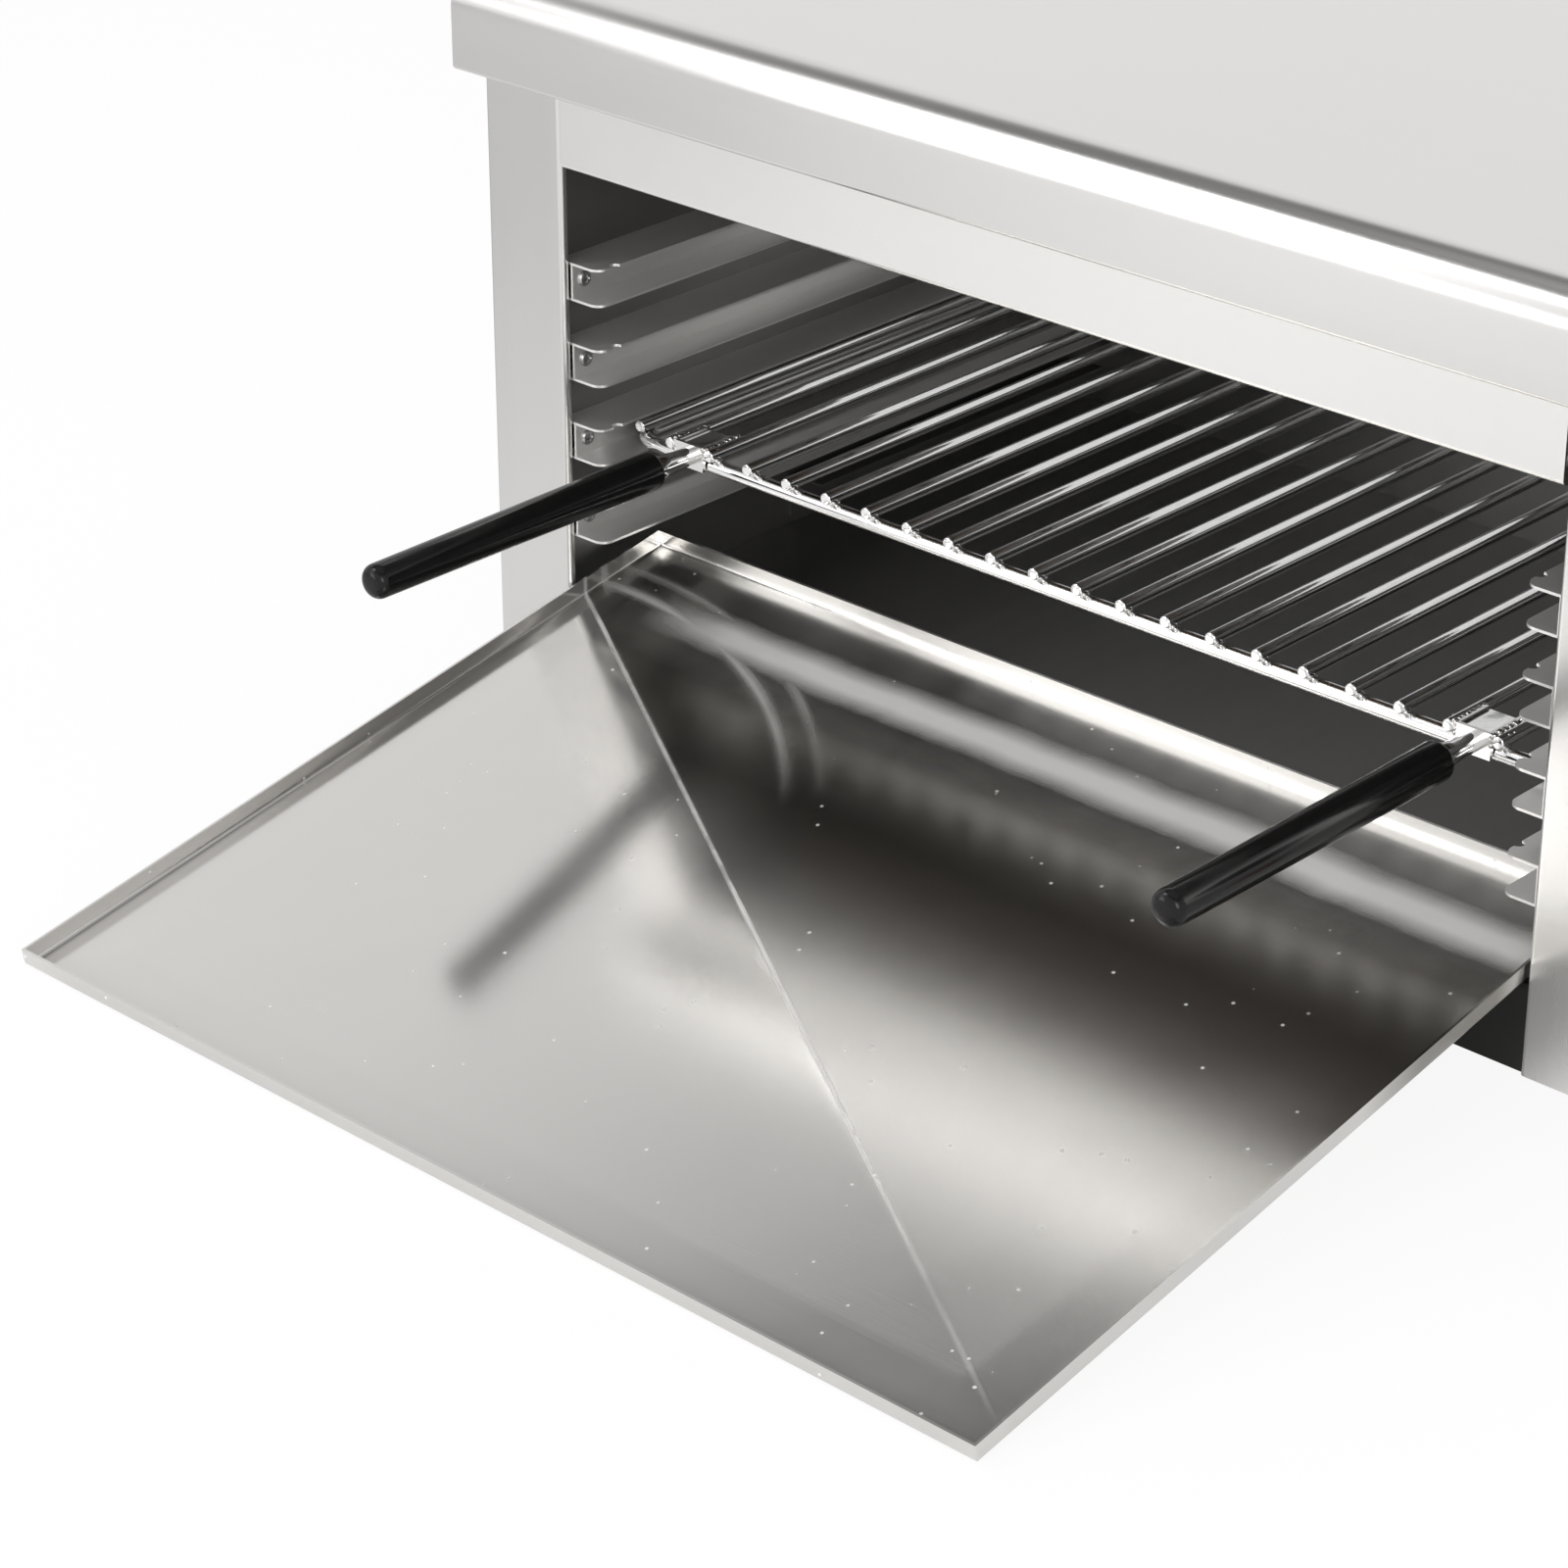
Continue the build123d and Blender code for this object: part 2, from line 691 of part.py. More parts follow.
# Temperature knob: skirt and fluted grip, with a pointer groove, bored for the shaft
with BuildPart() as temperature_knob:
    with BuildSketch(front_plane(y_knob, x_panel, z_knob)):
        Circle(knob_r)
    extrude(amount=knob_skirt_h)
    with BuildSketch(front_plane(y_knob - knob_skirt_h, x_panel, z_knob)):
        Circle(knob_grip_r)
        with PolarLocations(knob_grip_r, flute_count):
            Circle(flute_r, mode=Mode.SUBTRACT)
    extrude(amount=knob_h - knob_skirt_h)
    with BuildSketch(front_plane(y_knob - knob_h, x_panel, z_knob)):
        with Locations((0, knob_grip_r / 2)):
            Rectangle(pointer_w, knob_grip_r)
    extrude(amount=-pointer_depth, mode=Mode.SUBTRACT)
    with Locations(along_y(x_panel, (y_knob + shaft_tip) / 2, z_knob)):
        Cylinder(shaft_r + shaft_gap, y_knob - shaft_tip, mode=Mode.SUBTRACT)
    rims = temperature_knob.edges().filter_by(GeomType.CIRCLE).sort_by(SortBy.RADIUS)[-2:]
    fillet(rims.sort_by(Axis.Y)[:1], knob_skirt_h / 3)
temperature_knob.part.label = "temperature_knob"
export_step(temperature_knob.part, "parts/temperature_knob.step")

# Sensing bulb under the ceiling, with its capillary through the right liner to the thermostat
x_bulb_end = x_open_r + liner_set - capillary_r * 4
x_capillary = x_panel - stat_size / 3
y_stat_back = y_stat + stat_depth
z_capillary = z_knob + stat_size / 3
with BuildPart() as thermostat_bulb:
    with Locations(along_x(x_bulb_end - bulb_len / 2, y_bulb, z_bulb)):
        Cylinder(bulb_r, bulb_len)
    with BuildLine() as capillary:
        FilletPolyline((x_bulb_end, y_bulb, z_bulb), (x_capillary, y_bulb, z_bulb),
                       (x_capillary, y_stat_back + lead_back, z_bulb),
                       (x_capillary, y_stat_back + lead_back, z_capillary),
                       (x_capillary, y_stat_back, z_capillary), radius=lead_bend)
    with BuildSketch(capillary.line ^ 0):
        Circle(capillary_r)
    sweep(path=capillary.line)
thermostat_bulb.part.label = "thermostat_bulb"
export_step(thermostat_bulb.part, "parts/thermostat_bulb.step")

with BuildPart() as bulb_clips:
    for share in (1 / 4, 3 / 4):
        x_clip = x_bulb_end - bulb_len * share - clip_w / 2
        with BuildSketch(Plane.YZ.offset(x_clip)):
            with Locations((y_bulb, z_bulb)):
                Circle(bulb_r + weld_gap + clip_wall)
            with Locations((y_bulb, (z_bulb + z_ceiling) / 2)):
                Rectangle(2 * clip_wall, z_ceiling - z_bulb)
            with Locations((y_bulb, z_bulb)):
                Circle(bulb_r + weld_gap, mode=Mode.SUBTRACT)
        extrude(amount=clip_w)
bulb_clips.part.label = "bulb_clips"
export_step(bulb_clips.part, "parts/bulb_clips.step")


def lamp_lens(x):
    """A domed lamp lens whose stem goes back through the panel."""
    with BuildPart() as lens:
        with BuildSketch(front_plane(y_front + lens_in, x, z_lamp)):
            Circle(lens_r)
        extrude(amount=lens_in + lens_out)
        fillet(lens.edges().filter_by(GeomType.CIRCLE).sort_by(Axis.Y)[:1], lens_out * 0.8)
    return lens.part


keep(lamp_lens(lamp_xs[0]), "power_lamp")
keep(lamp_lens(lamp_xs[1]), "heat_lamp")

with BuildPart() as lamp_bezels:
    for x in lamp_xs:
        with BuildSketch(front_plane(y_front, x, z_lamp)):
            Circle(bezel_r)
            Circle(lens_r + lens_gap, mode=Mode.SUBTRACT)
        extrude(amount=bezel_h)
    rims = lamp_bezels.edges().filter_by(GeomType.CIRCLE).group_by(Axis.Y)[0]
    fillet(rims.filter_by(lambda e: abs(e.radius - bezel_r) < 0.01), bezel_h / 2)
lamp_bezels.part.label = "lamp_bezels"
export_step(lamp_bezels.part, "parts/lamp_bezels.step")

# Power switch: a framed housing through the panel, open in front for the rocker
with BuildPart() as power_switch_housing:
    with BuildSketch(front_plane(y_front, x_panel, z_switch)):
        RectangleRounded(switch_w, switch_h, switch_rim / 2)
    extrude(amount=switch_front)
    with BuildSketch(front_plane(y_front + switch_depth, x_panel, z_switch)):
        Rectangle(switch_body_w, switch_body_h)
    extrude(amount=switch_depth)
    with BuildSketch(front_plane(y_front - switch_front, x_panel, z_switch)):
        Rectangle(rocker_open_w, rocker_open_h)
    extrude(amount=-(switch_front + switch_depth / 2), mode=Mode.SUBTRACT)
    with Locations(along_x(x_panel, y_rocker, z_switch)):
        Cylinder(trunnion_r + shaft_gap, rocker_open_w + 2 * (trunnion_len + fit_gap), mode=Mode.SUBTRACT)
power_switch_housing.part.label = "power_switch_housing"
export_step(power_switch_housing.part, "parts/power_switch_housing.step")

rocker_turn = radians(rocker_throw / 2)


def rocker_point(up, out):
    """A point of the rocker's side outline, turned back by half its throw about the trunnions."""
    return (y_rocker - (out * cos(rocker_turn) - up * sin(rocker_turn)),
            z_switch + up * cos(rocker_turn) + out * sin(rocker_turn))


# Rocker: a dished paddle on two trunnions, resting with its lower end pressed out
with BuildPart() as power_switch_rocker:
    with BuildSketch(Plane.YZ.offset(x_panel - rocker_open_w / 2 + rocker_gap)):
        with BuildLine():
            Polyline(rocker_point(-rocker_half, rocker_front), rocker_point(0, rocker_front - rocker_dip),
                     rocker_point(rocker_half, rocker_front), rocker_point(rocker_half - 1.0, -rocker_back),
                     rocker_point(1.0 - rocker_half, -rocker_back), close=True)
        make_face()
    extrude(amount=rocker_open_w - 2 * rocker_gap)
    with Locations(along_x(x_panel, y_rocker, z_switch)):
        Cylinder(trunnion_r, rocker_open_w + 2 * trunnion_len)
power_switch_rocker.part.label = "power_switch_rocker"
export_step(power_switch_rocker.part, "parts/power_switch_rocker.step")

# Terminal block on the base, behind the controls
block_way = block_len / block_ways
block_x = x_pin_end + lead_bend + lead_gap + block_way * (block_ways - 1) / 2
block_y = y_back - block_in
with BuildPart() as terminal_block:
    with BuildSketch(Plane.XY.offset(z_base + sheet)):
        with Locations((block_x, block_y)):
            Rectangle(block_len, block_w)
    extrude(amount=block_h)
    with BuildSketch(Plane.XY.offset(z_base + sheet + block_h)):
        with Locations((block_x, block_y)):
            with GridLocations(block_way, block_w / 2, block_ways, 2):
                Circle(block_w / 6)
    extrude(amount=-block_h / 3, mode=Mode.SUBTRACT)
terminal_block.part.label = "terminal_block"
export_step(terminal_block.part, "parts/terminal_block.step")

# Leads: one from each element pin down to the block, and two from the block to the thermostat
way_xs = [block_x + (way - (block_ways - 1) / 2) * block_way for way in range(block_ways)]
z_block = z_base + sheet + block_h
z_way = z_block - block_h / 3
y_far_row = block_y + block_w / 4
y_near_row = block_y - block_w / 4
lead_routes = []
for x, (y, z) in zip(way_xs, element_legs):
    lead_routes.append([(x_pin_end, y, z), (x, y, z), (x, y, z_block + lead_tie),
                        (x, y_far_row, z_block + lead_tie), (x, y_far_row, z_way)])
for x in way_xs[1:3]:
    lead_routes.append([(x, y_near_row, z_way), (x, y_near_row, z_block + lead_rise),
                        (x, y_stat_back + lead_back, z_block + lead_rise),
                        (x, y_stat_back + lead_back, z_knob), (x, y_stat_back, z_knob)])


def lead(route):
    """A round lead bent along its route."""
    with BuildPart() as wire:
        with BuildLine() as path:
            FilletPolyline(*route, radius=lead_bend)
        with BuildSketch(path.line ^ 0):
            Circle(lead_r)
        sweep(path=path.line)
    return wire.part


wires = [lead(route) for route in lead_routes]
with BuildPart() as internal_leads:
    for wire in wires:
        add(wire)
internal_leads.part.label = "internal_leads"
export_step(internal_leads.part, "parts/internal_leads.step")

# Cable gland: a threaded body through the back panel, a dome outside and a nut inside
gland_inner = y_panel_back - sheet
with BuildPart() as cable_gland:
    with Locations(along_y(gland_x, (y_back + gland_out + gland_inner - gland_nut_h) / 2, gland_z)):
        Cylinder(gland_thread_r, y_back + gland_out - gland_inner + gland_nut_h)
    with BuildSketch(front_plane(y_back + gland_out - gland_nut_h / 2, gland_x, gland_z)):
        RegularPolygon(gland_r, 6)
    extrude(amount=gland_out + sheet - gland_nut_h / 2)
    with BuildSketch(front_plane(gland_inner, gland_x, gland_z)):
        RegularPolygon(gland_r, 6)
    extrude(amount=gland_nut_h)
    with Locations(along_y(gland_x, (y_back + gland_out + gland_inner - gland_nut_h) / 2, gland_z)):
        Cylinder(gland_bore_r, y_back + gland_out - gland_inner + 2 * gland_nut_h, mode=Mode.SUBTRACT)
cable_gland.part.label = "cable_gland"
export_step(cable_gland.part, "parts/cable_gland.step")

# Feet: tapered rubber buttons with a recess for the screw
with BuildPart() as feet:
    for x, y in foot_places:
        with BuildSketch(Plane.XY.offset(z_base)):
            with Locations((x, y)):
                Circle(foot_r)
        extrude(amount=-foot_h, taper=foot_taper)
        with BuildSketch(Plane.XY):
            with Locations((x, y)):
                Circle(foot_recess_r)
        extrude(amount=foot_recess_h, mode=Mode.SUBTRACT)
        with Locations((x, y, (z_base + foot_recess_h) / 2)):
            Cylinder(foot_screw_r + screw_gap, z_base, mode=Mode.SUBTRACT)
feet.part.label = "feet"
export_step(feet.part, "parts/feet.step")

with BuildPart() as foot_screws:
    for x, y in foot_places:
        with Locations((x, y, foot_recess_h - foot_screw_head_h / 2)):
            Cylinder(foot_screw_head_r, foot_screw_head_h)
        top = z_base + sheet + foot_nut_h + screw_gap
        with Locations((x, y, (foot_recess_h + top) / 2)):
            Cylinder(foot_screw_r, top - foot_recess_h)
        with BuildSketch(Plane.XY.offset(z_base + sheet)):
            with Locations((x, y)):
                RegularPolygon(foot_screw_head_r, 6)
        extrude(amount=foot_nut_h)
foot_screws.part.label = "foot_screws"
export_step(foot_screws.part, "parts/foot_screws.step")

# Dome-headed screws under the front edge of the base
with BuildPart() as base_front_screws:
    for x in base_dome_xs:
        with Locations((x, y_front + base_dome_in, z_base)):
            Sphere(base_dome_r, arc_size1=-90, arc_size2=0, align=(Align.CENTER, Align.CENTER, Align.MAX))
            Cylinder(screw_r, 2 * sheet, align=(Align.CENTER, Align.CENTER, Align.MIN))
base_front_screws.part.label = "base_front_screws"
export_step(base_front_screws.part, "parts/base_front_screws.step")

# Screws through the hood's end plates into the side shells
with BuildPart() as hood_screws:
    for side, face in ((-1, x_left - hood_side), (1, x_right + hood_side)):
        for y in hood_screw_ys:
            with Locations(along_x(face + side * screw_head_h / 2, y, z_hood_screw)):
                Cylinder(screw_head_r, screw_head_h)
            with Locations(along_x(face - side * screw_len / 2, y, z_hood_screw)):
                Cylinder(screw_r, screw_len)
hood_screws.part.label = "hood_screws"
export_step(hood_screws.part, "parts/hood_screws.step")

with BuildPart() as back_screws:
    for x, z in back_screw_places:
        with Locations(along_y(x, y_panel_back + screw_head_h / 2, z)):
            Cylinder(screw_head_r, screw_head_h)
        with Locations(along_y(x, y_panel_back - screw_len / 2, z)):
            Cylinder(screw_r, screw_len)
back_screws.part.label = "back_screws"
export_step(back_screws.part, "parts/back_screws.step")

with BuildPart() as panel_screws:
    for x, z in panel_screw_places:
        with Locations(along_y(x, y_front - screw_head_h / 2, z)):
            Cylinder(screw_head_r, screw_head_h)
        with Locations(along_y(x, y_front + screw_len / 2, z)):
            Cylinder(screw_r, screw_len)
panel_screws.part.label = "panel_screws"
export_step(panel_screws.part, "parts/panel_screws.step")

# Rack frame: one bent rod, closed at the back
with BuildPart() as rack_frame:
    with BuildLine() as frame_path:
        FilletPolyline((x_mid - rack_half, y_rack, z_frame), (x_mid - rack_half, y_rack_end, z_frame),
                       (x_mid + rack_half, y_rack_end, z_frame), (x_mid + rack_half, y_rack, z_frame),
                       radius=frame_corner_r, close=True)
    with BuildSketch(frame_path.line ^ 0):
        Circle(frame_r)
    sweep(path=frame_path.line)
rack_frame.part.label = "rack_frame"
export_step(rack_frame.part, "parts/rack_frame.step")

# Rack rods: laid over the frame's front and back, the outer two shorter because of its corners
with BuildPart() as rack_rods:
    for i in range(rod_count):
        at_corner = i in (0, rod_count - 1)
        back = corner_rod_back if at_corner else 0.0
        start = y_rod_end + back
        stop = y_rack_end + frame_r + rod_over - back
        with BuildSketch(front_plane(stop, x_mid - rod_half + rod_pitch * i, z_rods)):
            Circle(rod_r)
        extrude(amount=stop - start)
    fillet(rack_rods.edges().filter_by(GeomType.CIRCLE), rod_round)
rack_rods.part.label = "rack_rods"
export_step(rack_rods.part, "parts/rack_rods.step")


def handle_bracket(x):
    """A cross-piece between two rods' front ends, with a leg back along each of the two rods."""
    inner = rod_pitch - 2 * rod_r - 2 * weld_gap
    leg_low = z_frame + frame_r + weld_gap
    with BuildPart() as strip:
        with BuildSketch(Plane.XY.offset(leg_low)):
            with Locations((x, y_rod_end + bracket_leg / 2)):
                Rectangle(inner, bracket_leg)
            with Locations((x, y_rod_end + bracket_sheet + bracket_leg / 2)):
                Rectangle(inner - 2 * bracket_sheet, bracket_leg, mode=Mode.SUBTRACT)
        extrude(amount=z_rod_top - leg_low)
        with BuildSketch(Plane.XY.offset(z_rod_top - bracket_h)):
            with Locations((x, y_rod_end + bracket_sheet / 2)):
                Rectangle(inner, bracket_sheet)
        extrude(amount=bracket_h)
    return strip.part


def handle_stub(x):
    """A bright turned stub on the cross-piece, wider towards the grip, with a tang inside it."""
    neck_r = stub_r - stub_flare
    with BuildPart() as stub:
        with BuildSketch(Plane.YZ.offset(x)):
            with BuildLine():
                Polyline((y_rod_end, z_stub), (y_rod_end, z_stub + neck_r),
                         (y_rod_end - stub_len / 3, z_stub + neck_r),
                         (y_grip, z_stub + stub_r), (y_grip, z_stub + tang_r),
                         (y_grip - tang_len, z_stub + tang_r), (y_grip - tang_len, z_stub), close=True)
            make_face()
        revolve(axis=Axis((x, y_rod_end, z_stub), (0, 1, 0)))
    return stub.part


def grip(x):
    """A black handle grip: a bored cylinder with rounded ends and a small stepped button in front."""
    end = y_grip - grip_len
    rim = z_stub + grip_r
    bore_end = y_grip - tang_len - tang_gap
    bore = z_stub + tang_r + tang_gap
    with BuildPart() as handle:
        with BuildSketch(Plane.YZ.offset(x)):
            with BuildLine():
                Polyline((bore_end, z_stub), (bore_end, bore), (y_grip, bore),
                         (y_grip, rim - grip_rear_round))
                RadiusArc((y_grip, rim - grip_rear_round), (y_grip - grip_rear_round, rim), -grip_rear_round)
                Line((y_grip - grip_rear_round, rim), (end + grip_round, rim))
                RadiusArc((end + grip_round, rim), (end, rim - grip_round), -grip_round)
                Polyline((end, rim - grip_round), (end, z_stub + grip_button_r),
                         (end - grip_button_h, z_stub + grip_button_r), (end - grip_button_h, z_stub),
                         (bore_end, z_stub))
            make_face()
        revolve(axis=Axis((x, y_grip, z_stub), (0, 1, 0)))
    return handle.part


for side, word in ((-1, "left"), (1, "right")):
    x_handle = x_mid + side * handle_x
    keep(handle_bracket(x_handle), f"{word}_handle_bracket")
    keep(handle_stub(x_handle), f"{word}_handle_stub")
    keep(grip(x_handle), f"{word}_grip")

# Drip tray: a shallow pan, drawn in its own tipped plane from its front lower edge
tray_plane = Plane(origin=(x_mid, y_tray, tray_lift), x_dir=(1, 0, 0), z_dir=(0, -sin(tilt), cos(tilt)))
with BuildPart() as drip_tray:
    with BuildSketch(tray_plane):
        with Locations((0, tray_len / 2)):
            Rectangle(tray_w, tray_len)
    extrude(amount=tray_wall_h)
    with BuildSketch(tray_plane.offset(tray_sheet)):
        with Locations((0, tray_len / 2)):
            Rectangle(tray_w - 2 * tray_sheet, tray_len - 2 * tray_sheet)
    extrude(amount=tray_wall_h - tray_sheet, mode=Mode.SUBTRACT)
drip_tray.part.label = "drip_tray"
export_step(drip_tray.part, "parts/drip_tray.step")

print(f"tray arc: radius {swing_r:.3f}, pole y {y_pole:.3f} z {z_pole:.3f}, level floor z {z_stow:.3f}")
print(f"lip {z_lip:.2f}, lowest rail {rail_low:.2f}, frame {z_frame:.2f}, ledge {z_ledge:.2f}")
print(f"opening x {x_open_l:.1f} to {x_open_r:.1f}, front {y_front:.2f}, back {y_back:.2f}, top {z_top:.1f}")
print(f"rod pitch {rod_pitch:.2f}, handles {handle_x:.2f} from the middle and {z_stub:.2f} up")
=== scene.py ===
# %% [markdown]
# # A salamander grill in a light studio
# The object is a small open-fronted grill in satin steel. A wire rack on two black handles slides
# on rails in its cavity, and a shallow drip tray is drawn out in front of it, tipped to the worktop.
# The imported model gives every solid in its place. It could be shown as it is, but its round pieces
# are made of flat facets, which a mirror finish shows at once. So the round and folded pieces that
# catch the light are worked out again here as smooth surfaces, and every piece gets a finish.

import math

import bmesh
import bpy
import numpy as np
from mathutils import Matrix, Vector


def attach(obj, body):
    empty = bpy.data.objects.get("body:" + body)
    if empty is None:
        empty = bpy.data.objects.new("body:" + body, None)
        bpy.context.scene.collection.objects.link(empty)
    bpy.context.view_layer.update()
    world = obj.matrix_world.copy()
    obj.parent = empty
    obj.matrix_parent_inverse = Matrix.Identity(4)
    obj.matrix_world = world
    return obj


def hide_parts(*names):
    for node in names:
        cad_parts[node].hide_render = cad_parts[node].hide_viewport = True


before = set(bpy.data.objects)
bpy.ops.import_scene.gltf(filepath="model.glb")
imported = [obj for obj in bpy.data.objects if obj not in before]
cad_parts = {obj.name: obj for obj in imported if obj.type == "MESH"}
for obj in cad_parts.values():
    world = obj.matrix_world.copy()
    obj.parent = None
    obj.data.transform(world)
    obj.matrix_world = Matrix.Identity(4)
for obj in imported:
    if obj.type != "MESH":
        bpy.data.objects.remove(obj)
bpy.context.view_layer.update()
scene = bpy.context.scene
scene.view_settings.view_transform = "Standard"

# %% [markdown]
# ## The camera
# The picture is taken from the front right and above, with a long lens, so that the tray fills the
# lower half. The angle could be set by eye. It comes instead from the places of the opening's
# corners, the hood's end and the tray's corners in the picture, which fix a camera of one lens.
# All lengths in this file are millimetres, as on a drawing, and MM turns them into Blender's metres.

# %% Camera
MM = 0.001
camera_at = Vector((902.7, -1170.2, 784.7)) * MM
camera_to = Vector((-85.5, -111.4, 59.2)) * MM

lens = bpy.data.cameras.new("picture_lens")
lens.sensor_width = 36.0
lens.lens = 104.4
lens.clip_start = 0.01
camera = bpy.data.objects.new("picture_camera", lens)
scene.collection.objects.link(camera)
camera.location = camera_at
camera.rotation_euler = (camera_to - camera_at).to_track_quat("-Z", "Y").to_euler()
scene.camera = camera
print("camera", round((camera_to - camera_at).length, 3), "m from its aim")

# %% [markdown]
# ## Shader maths as plain expressions
# A finish is a graph of nodes. Wiring it node by node hides the idea, so a small class wraps a
# socket: `0.5 * mask` or `0.3 + 0.1 * grain` then adds the Math nodes by itself. One method adds any
# other node from its type, its settings and what goes into its sockets.


# %% Values and finishes
class Value:
    """A number that varies over a surface: one socket, with operators that add Math nodes."""

    def __init__(self, tree, socket):
        self.tree, self.socket = tree, socket

    def maths(self, operation, *terms):
        node = self.tree.nodes.new("ShaderNodeMath")
        node.operation = operation
        for slot, term in zip(node.inputs, terms):
            if isinstance(term, Value):
                self.tree.links.new(term.socket, slot)
            else:
                slot.default_value = term
        return Value(self.tree, node.outputs[0])

    def __add__(self, other):
        return self.maths("ADD", self, other)

    def __sub__(self, other):
        return self.maths("SUBTRACT", self, other)

    def __mul__(self, other):
        return self.maths("MULTIPLY", self, other)

    def __pow__(self, other):
        return self.maths("POWER", self, other)

    __radd__, __rmul__ = __add__, __mul__

    def most(self, other):
        return self.maths("MAXIMUM", self, other)


class Finish:
    """One material: its node tree and the shader that its values feed."""

    def __init__(self, name, material=None):
        self.material = material or bpy.data.materials.new(name)
        self.material.use_nodes = True
        self.tree = self.material.node_tree
        self.shader = self.tree.nodes.get("Principled BSDF")

    def node(self, kind, settings, sockets, out=0):
        """Adds a node: settings first, then a value or a link for each socket; gives one output."""
        node = self.tree.nodes.new(kind)
        for key, setting in settings.items():
            if key == "stops":
                ramp = node.color_ramp.elements
                while len(ramp) < len(setting):
                    ramp.new(0.5)
                for stop, (place, level) in zip(ramp, setting):
                    stop.position, stop.color = place, (level, level, level, 1.0)
            else:
                setattr(node, key, setting)
        self.feed(node, sockets)
        return Value(self.tree, node.outputs[out])

    def feed(self, node, sockets):
        for key, term in sockets.items():
            if isinstance(term, Value):
                self.tree.links.new(term.socket, node.inputs[key])
            else:
                node.inputs[key].default_value = term

    def surface(self, **sockets):
        """Feeds the shader: underscores in a name stand for its spaces."""
        self.feed(self.shader, {key.replace("_", " "): term for key, term in sockets.items()})
        return self.material

    def place(self, stretch=(1.0, 1.0, 1.0), turn=(0.0, 0.0, 0.0)):
        """Object coordinates in metres, turned and then stretched along the axes."""
        raw = self.node("ShaderNodeTexCoord", {}, {}, "Object")
        turned = self.node("ShaderNodeMapping", {}, {"Vector": raw, "Rotation": turn})
        return self.node("ShaderNodeMapping", {}, {"Vector": turned, "Scale": stretch})

    def noise(self, place, scale, detail=3.0, rough=0.55):
        sockets = {"Vector": place, "Scale": scale, "Detail": detail, "Roughness": rough}
        return self.node("ShaderNodeTexNoise", {}, sockets, "Fac")

    def ramp(self, value, *stops):
        """A value run through straight stops of (place, level)."""
        return self.node("ShaderNodeValToRGB", {"stops": stops}, {"Fac": value})

    def mix(self, share, first, second):
        """A colour between two colours."""
        return self.node("ShaderNodeMix", {"data_type": "RGBA"}, {0: share, 6: first, 7: second}, 2)

    def bump(self, height, depth, strength=1.0):
        """A normal from a height that spans the given depth in metres."""
        sockets = {"Height": height, "Distance": depth, "Strength": strength}
        return self.node("ShaderNodeBump", {}, sockets, "Normal")


def shade(level, warm=0.0):
    """A grey with a little warmth, as a colour socket's four numbers."""
    return (level * (1 + warm), level, level * (1 - 1.4 * warm), 1.0)


print("shader words ready")

# %% [markdown]
# ## Floor, surroundings and lamps
# The picture is a bright product studio: white all round, a large soft lamp in front, and another
# up at the left that draws the long highlight on the hood's rounded nose. Steel shows whatever
# stands round it, so the surroundings matter more than the lamps. The world is white to the camera;
# in reflections it is white at the horizon and broken by a dark beam under the ceiling, which
# gives the nose its dark line. The floor is white too, and part of its light is its own, so that
# only a faint shadow is left. In reflections that own light is painted to fall off to the left, away
# from the lamps, which shades the front of the casing, and a painted shadow dims it under the tray.
# A weak strip under the cavity's ceiling stands for the light that the reflector sends down, and
# draws a line on each rod.

# %% Floor and world
WHITE, BLACK = shade(1.0), shade(0.0)
FLOOR_HALF = 30000
TRAY_OFF = 0.040  # metres from the tray's middle line to the frame's
OWN_LIGHT, MIRRORED_LIGHT, PAINTED_TRAY_SHADOW = 0.90, 0.60, 0.7

world = bpy.data.worlds.new("white_studio")
scene.world = world
world.use_nodes = True
sky = Finish("white_studio", world)
aim = sky.node("ShaderNodeTexCoord", {}, {}, "Generated")
height = sky.node("ShaderNodeSeparateXYZ", {}, {"Vector": aim}, "Z")
ceiling = sky.ramp(height, (0.0, 1.0), (0.62, 0.95), (0.69, 0.90), (0.75, 0.10),
                   (0.81, 0.10), (0.90, 0.60), (1.0, 0.65))
seen = sky.node("ShaderNodeLightPath", {}, {}, "Is Camera Ray")
sky.feed(world.node_tree.nodes["Background"], {
    "Color": sky.mix(seen, ceiling, WHITE), "Strength": 1.0})


def studio_floor(half):
    """A square of floor at the height of the worktop, on the world's XY plane."""
    corners = np.array([(-1, -1, 0), (1, -1, 0), (1, 1, 0), (-1, 1, 0)]) * half * MM
    mesh = bpy.data.meshes.new("studio_floor")
    mesh.from_pydata(corners.tolist(), [], [(0, 1, 2, 3)])
    floor = bpy.data.objects.new("studio_floor", mesh)
    scene.collection.objects.link(floor)
    return floor


floor = studio_floor(FLOOR_HALF)
white = Finish("floor_white")
white.surface(Base_Color=shade(0.9), Roughness=0.9)
direct, glossy, clear = [white.node("ShaderNodeLightPath", {}, {}, f"Is {kind} Ray")
                         for kind in ("Camera", "Glossy", "Transmission")]
across, back = [white.node("ShaderNodeSeparateXYZ", {}, {"Vector": white.place()}, axis) for axis in "XY"]
# Painted shade: in reflections the floor's own light falls off to the left.
falling = white.ramp(across + 1.0, (0.22, 0.42), (0.32, 0.55), (0.62, 1.0), (0.85, 0.92), (1.0, 1.0))
# Painted shadow: under the tray the floor's own light is dimmed, as it shows in reflections.
under = white.ramp(across.maths("ABSOLUTE", across + TRAY_OFF) * 2.0, (0.40, 1.0), (0.46, 0.0))
under = under * white.ramp(back + 0.5, (0.17, 0.0), (0.22, 1.0))
falling = white.mix(PAINTED_TRAY_SHADOW * under, falling, BLACK)
glow = white.node("ShaderNodeEmission", {}, {"Color": white.mix(direct, falling, WHITE), "Strength": 1.0})
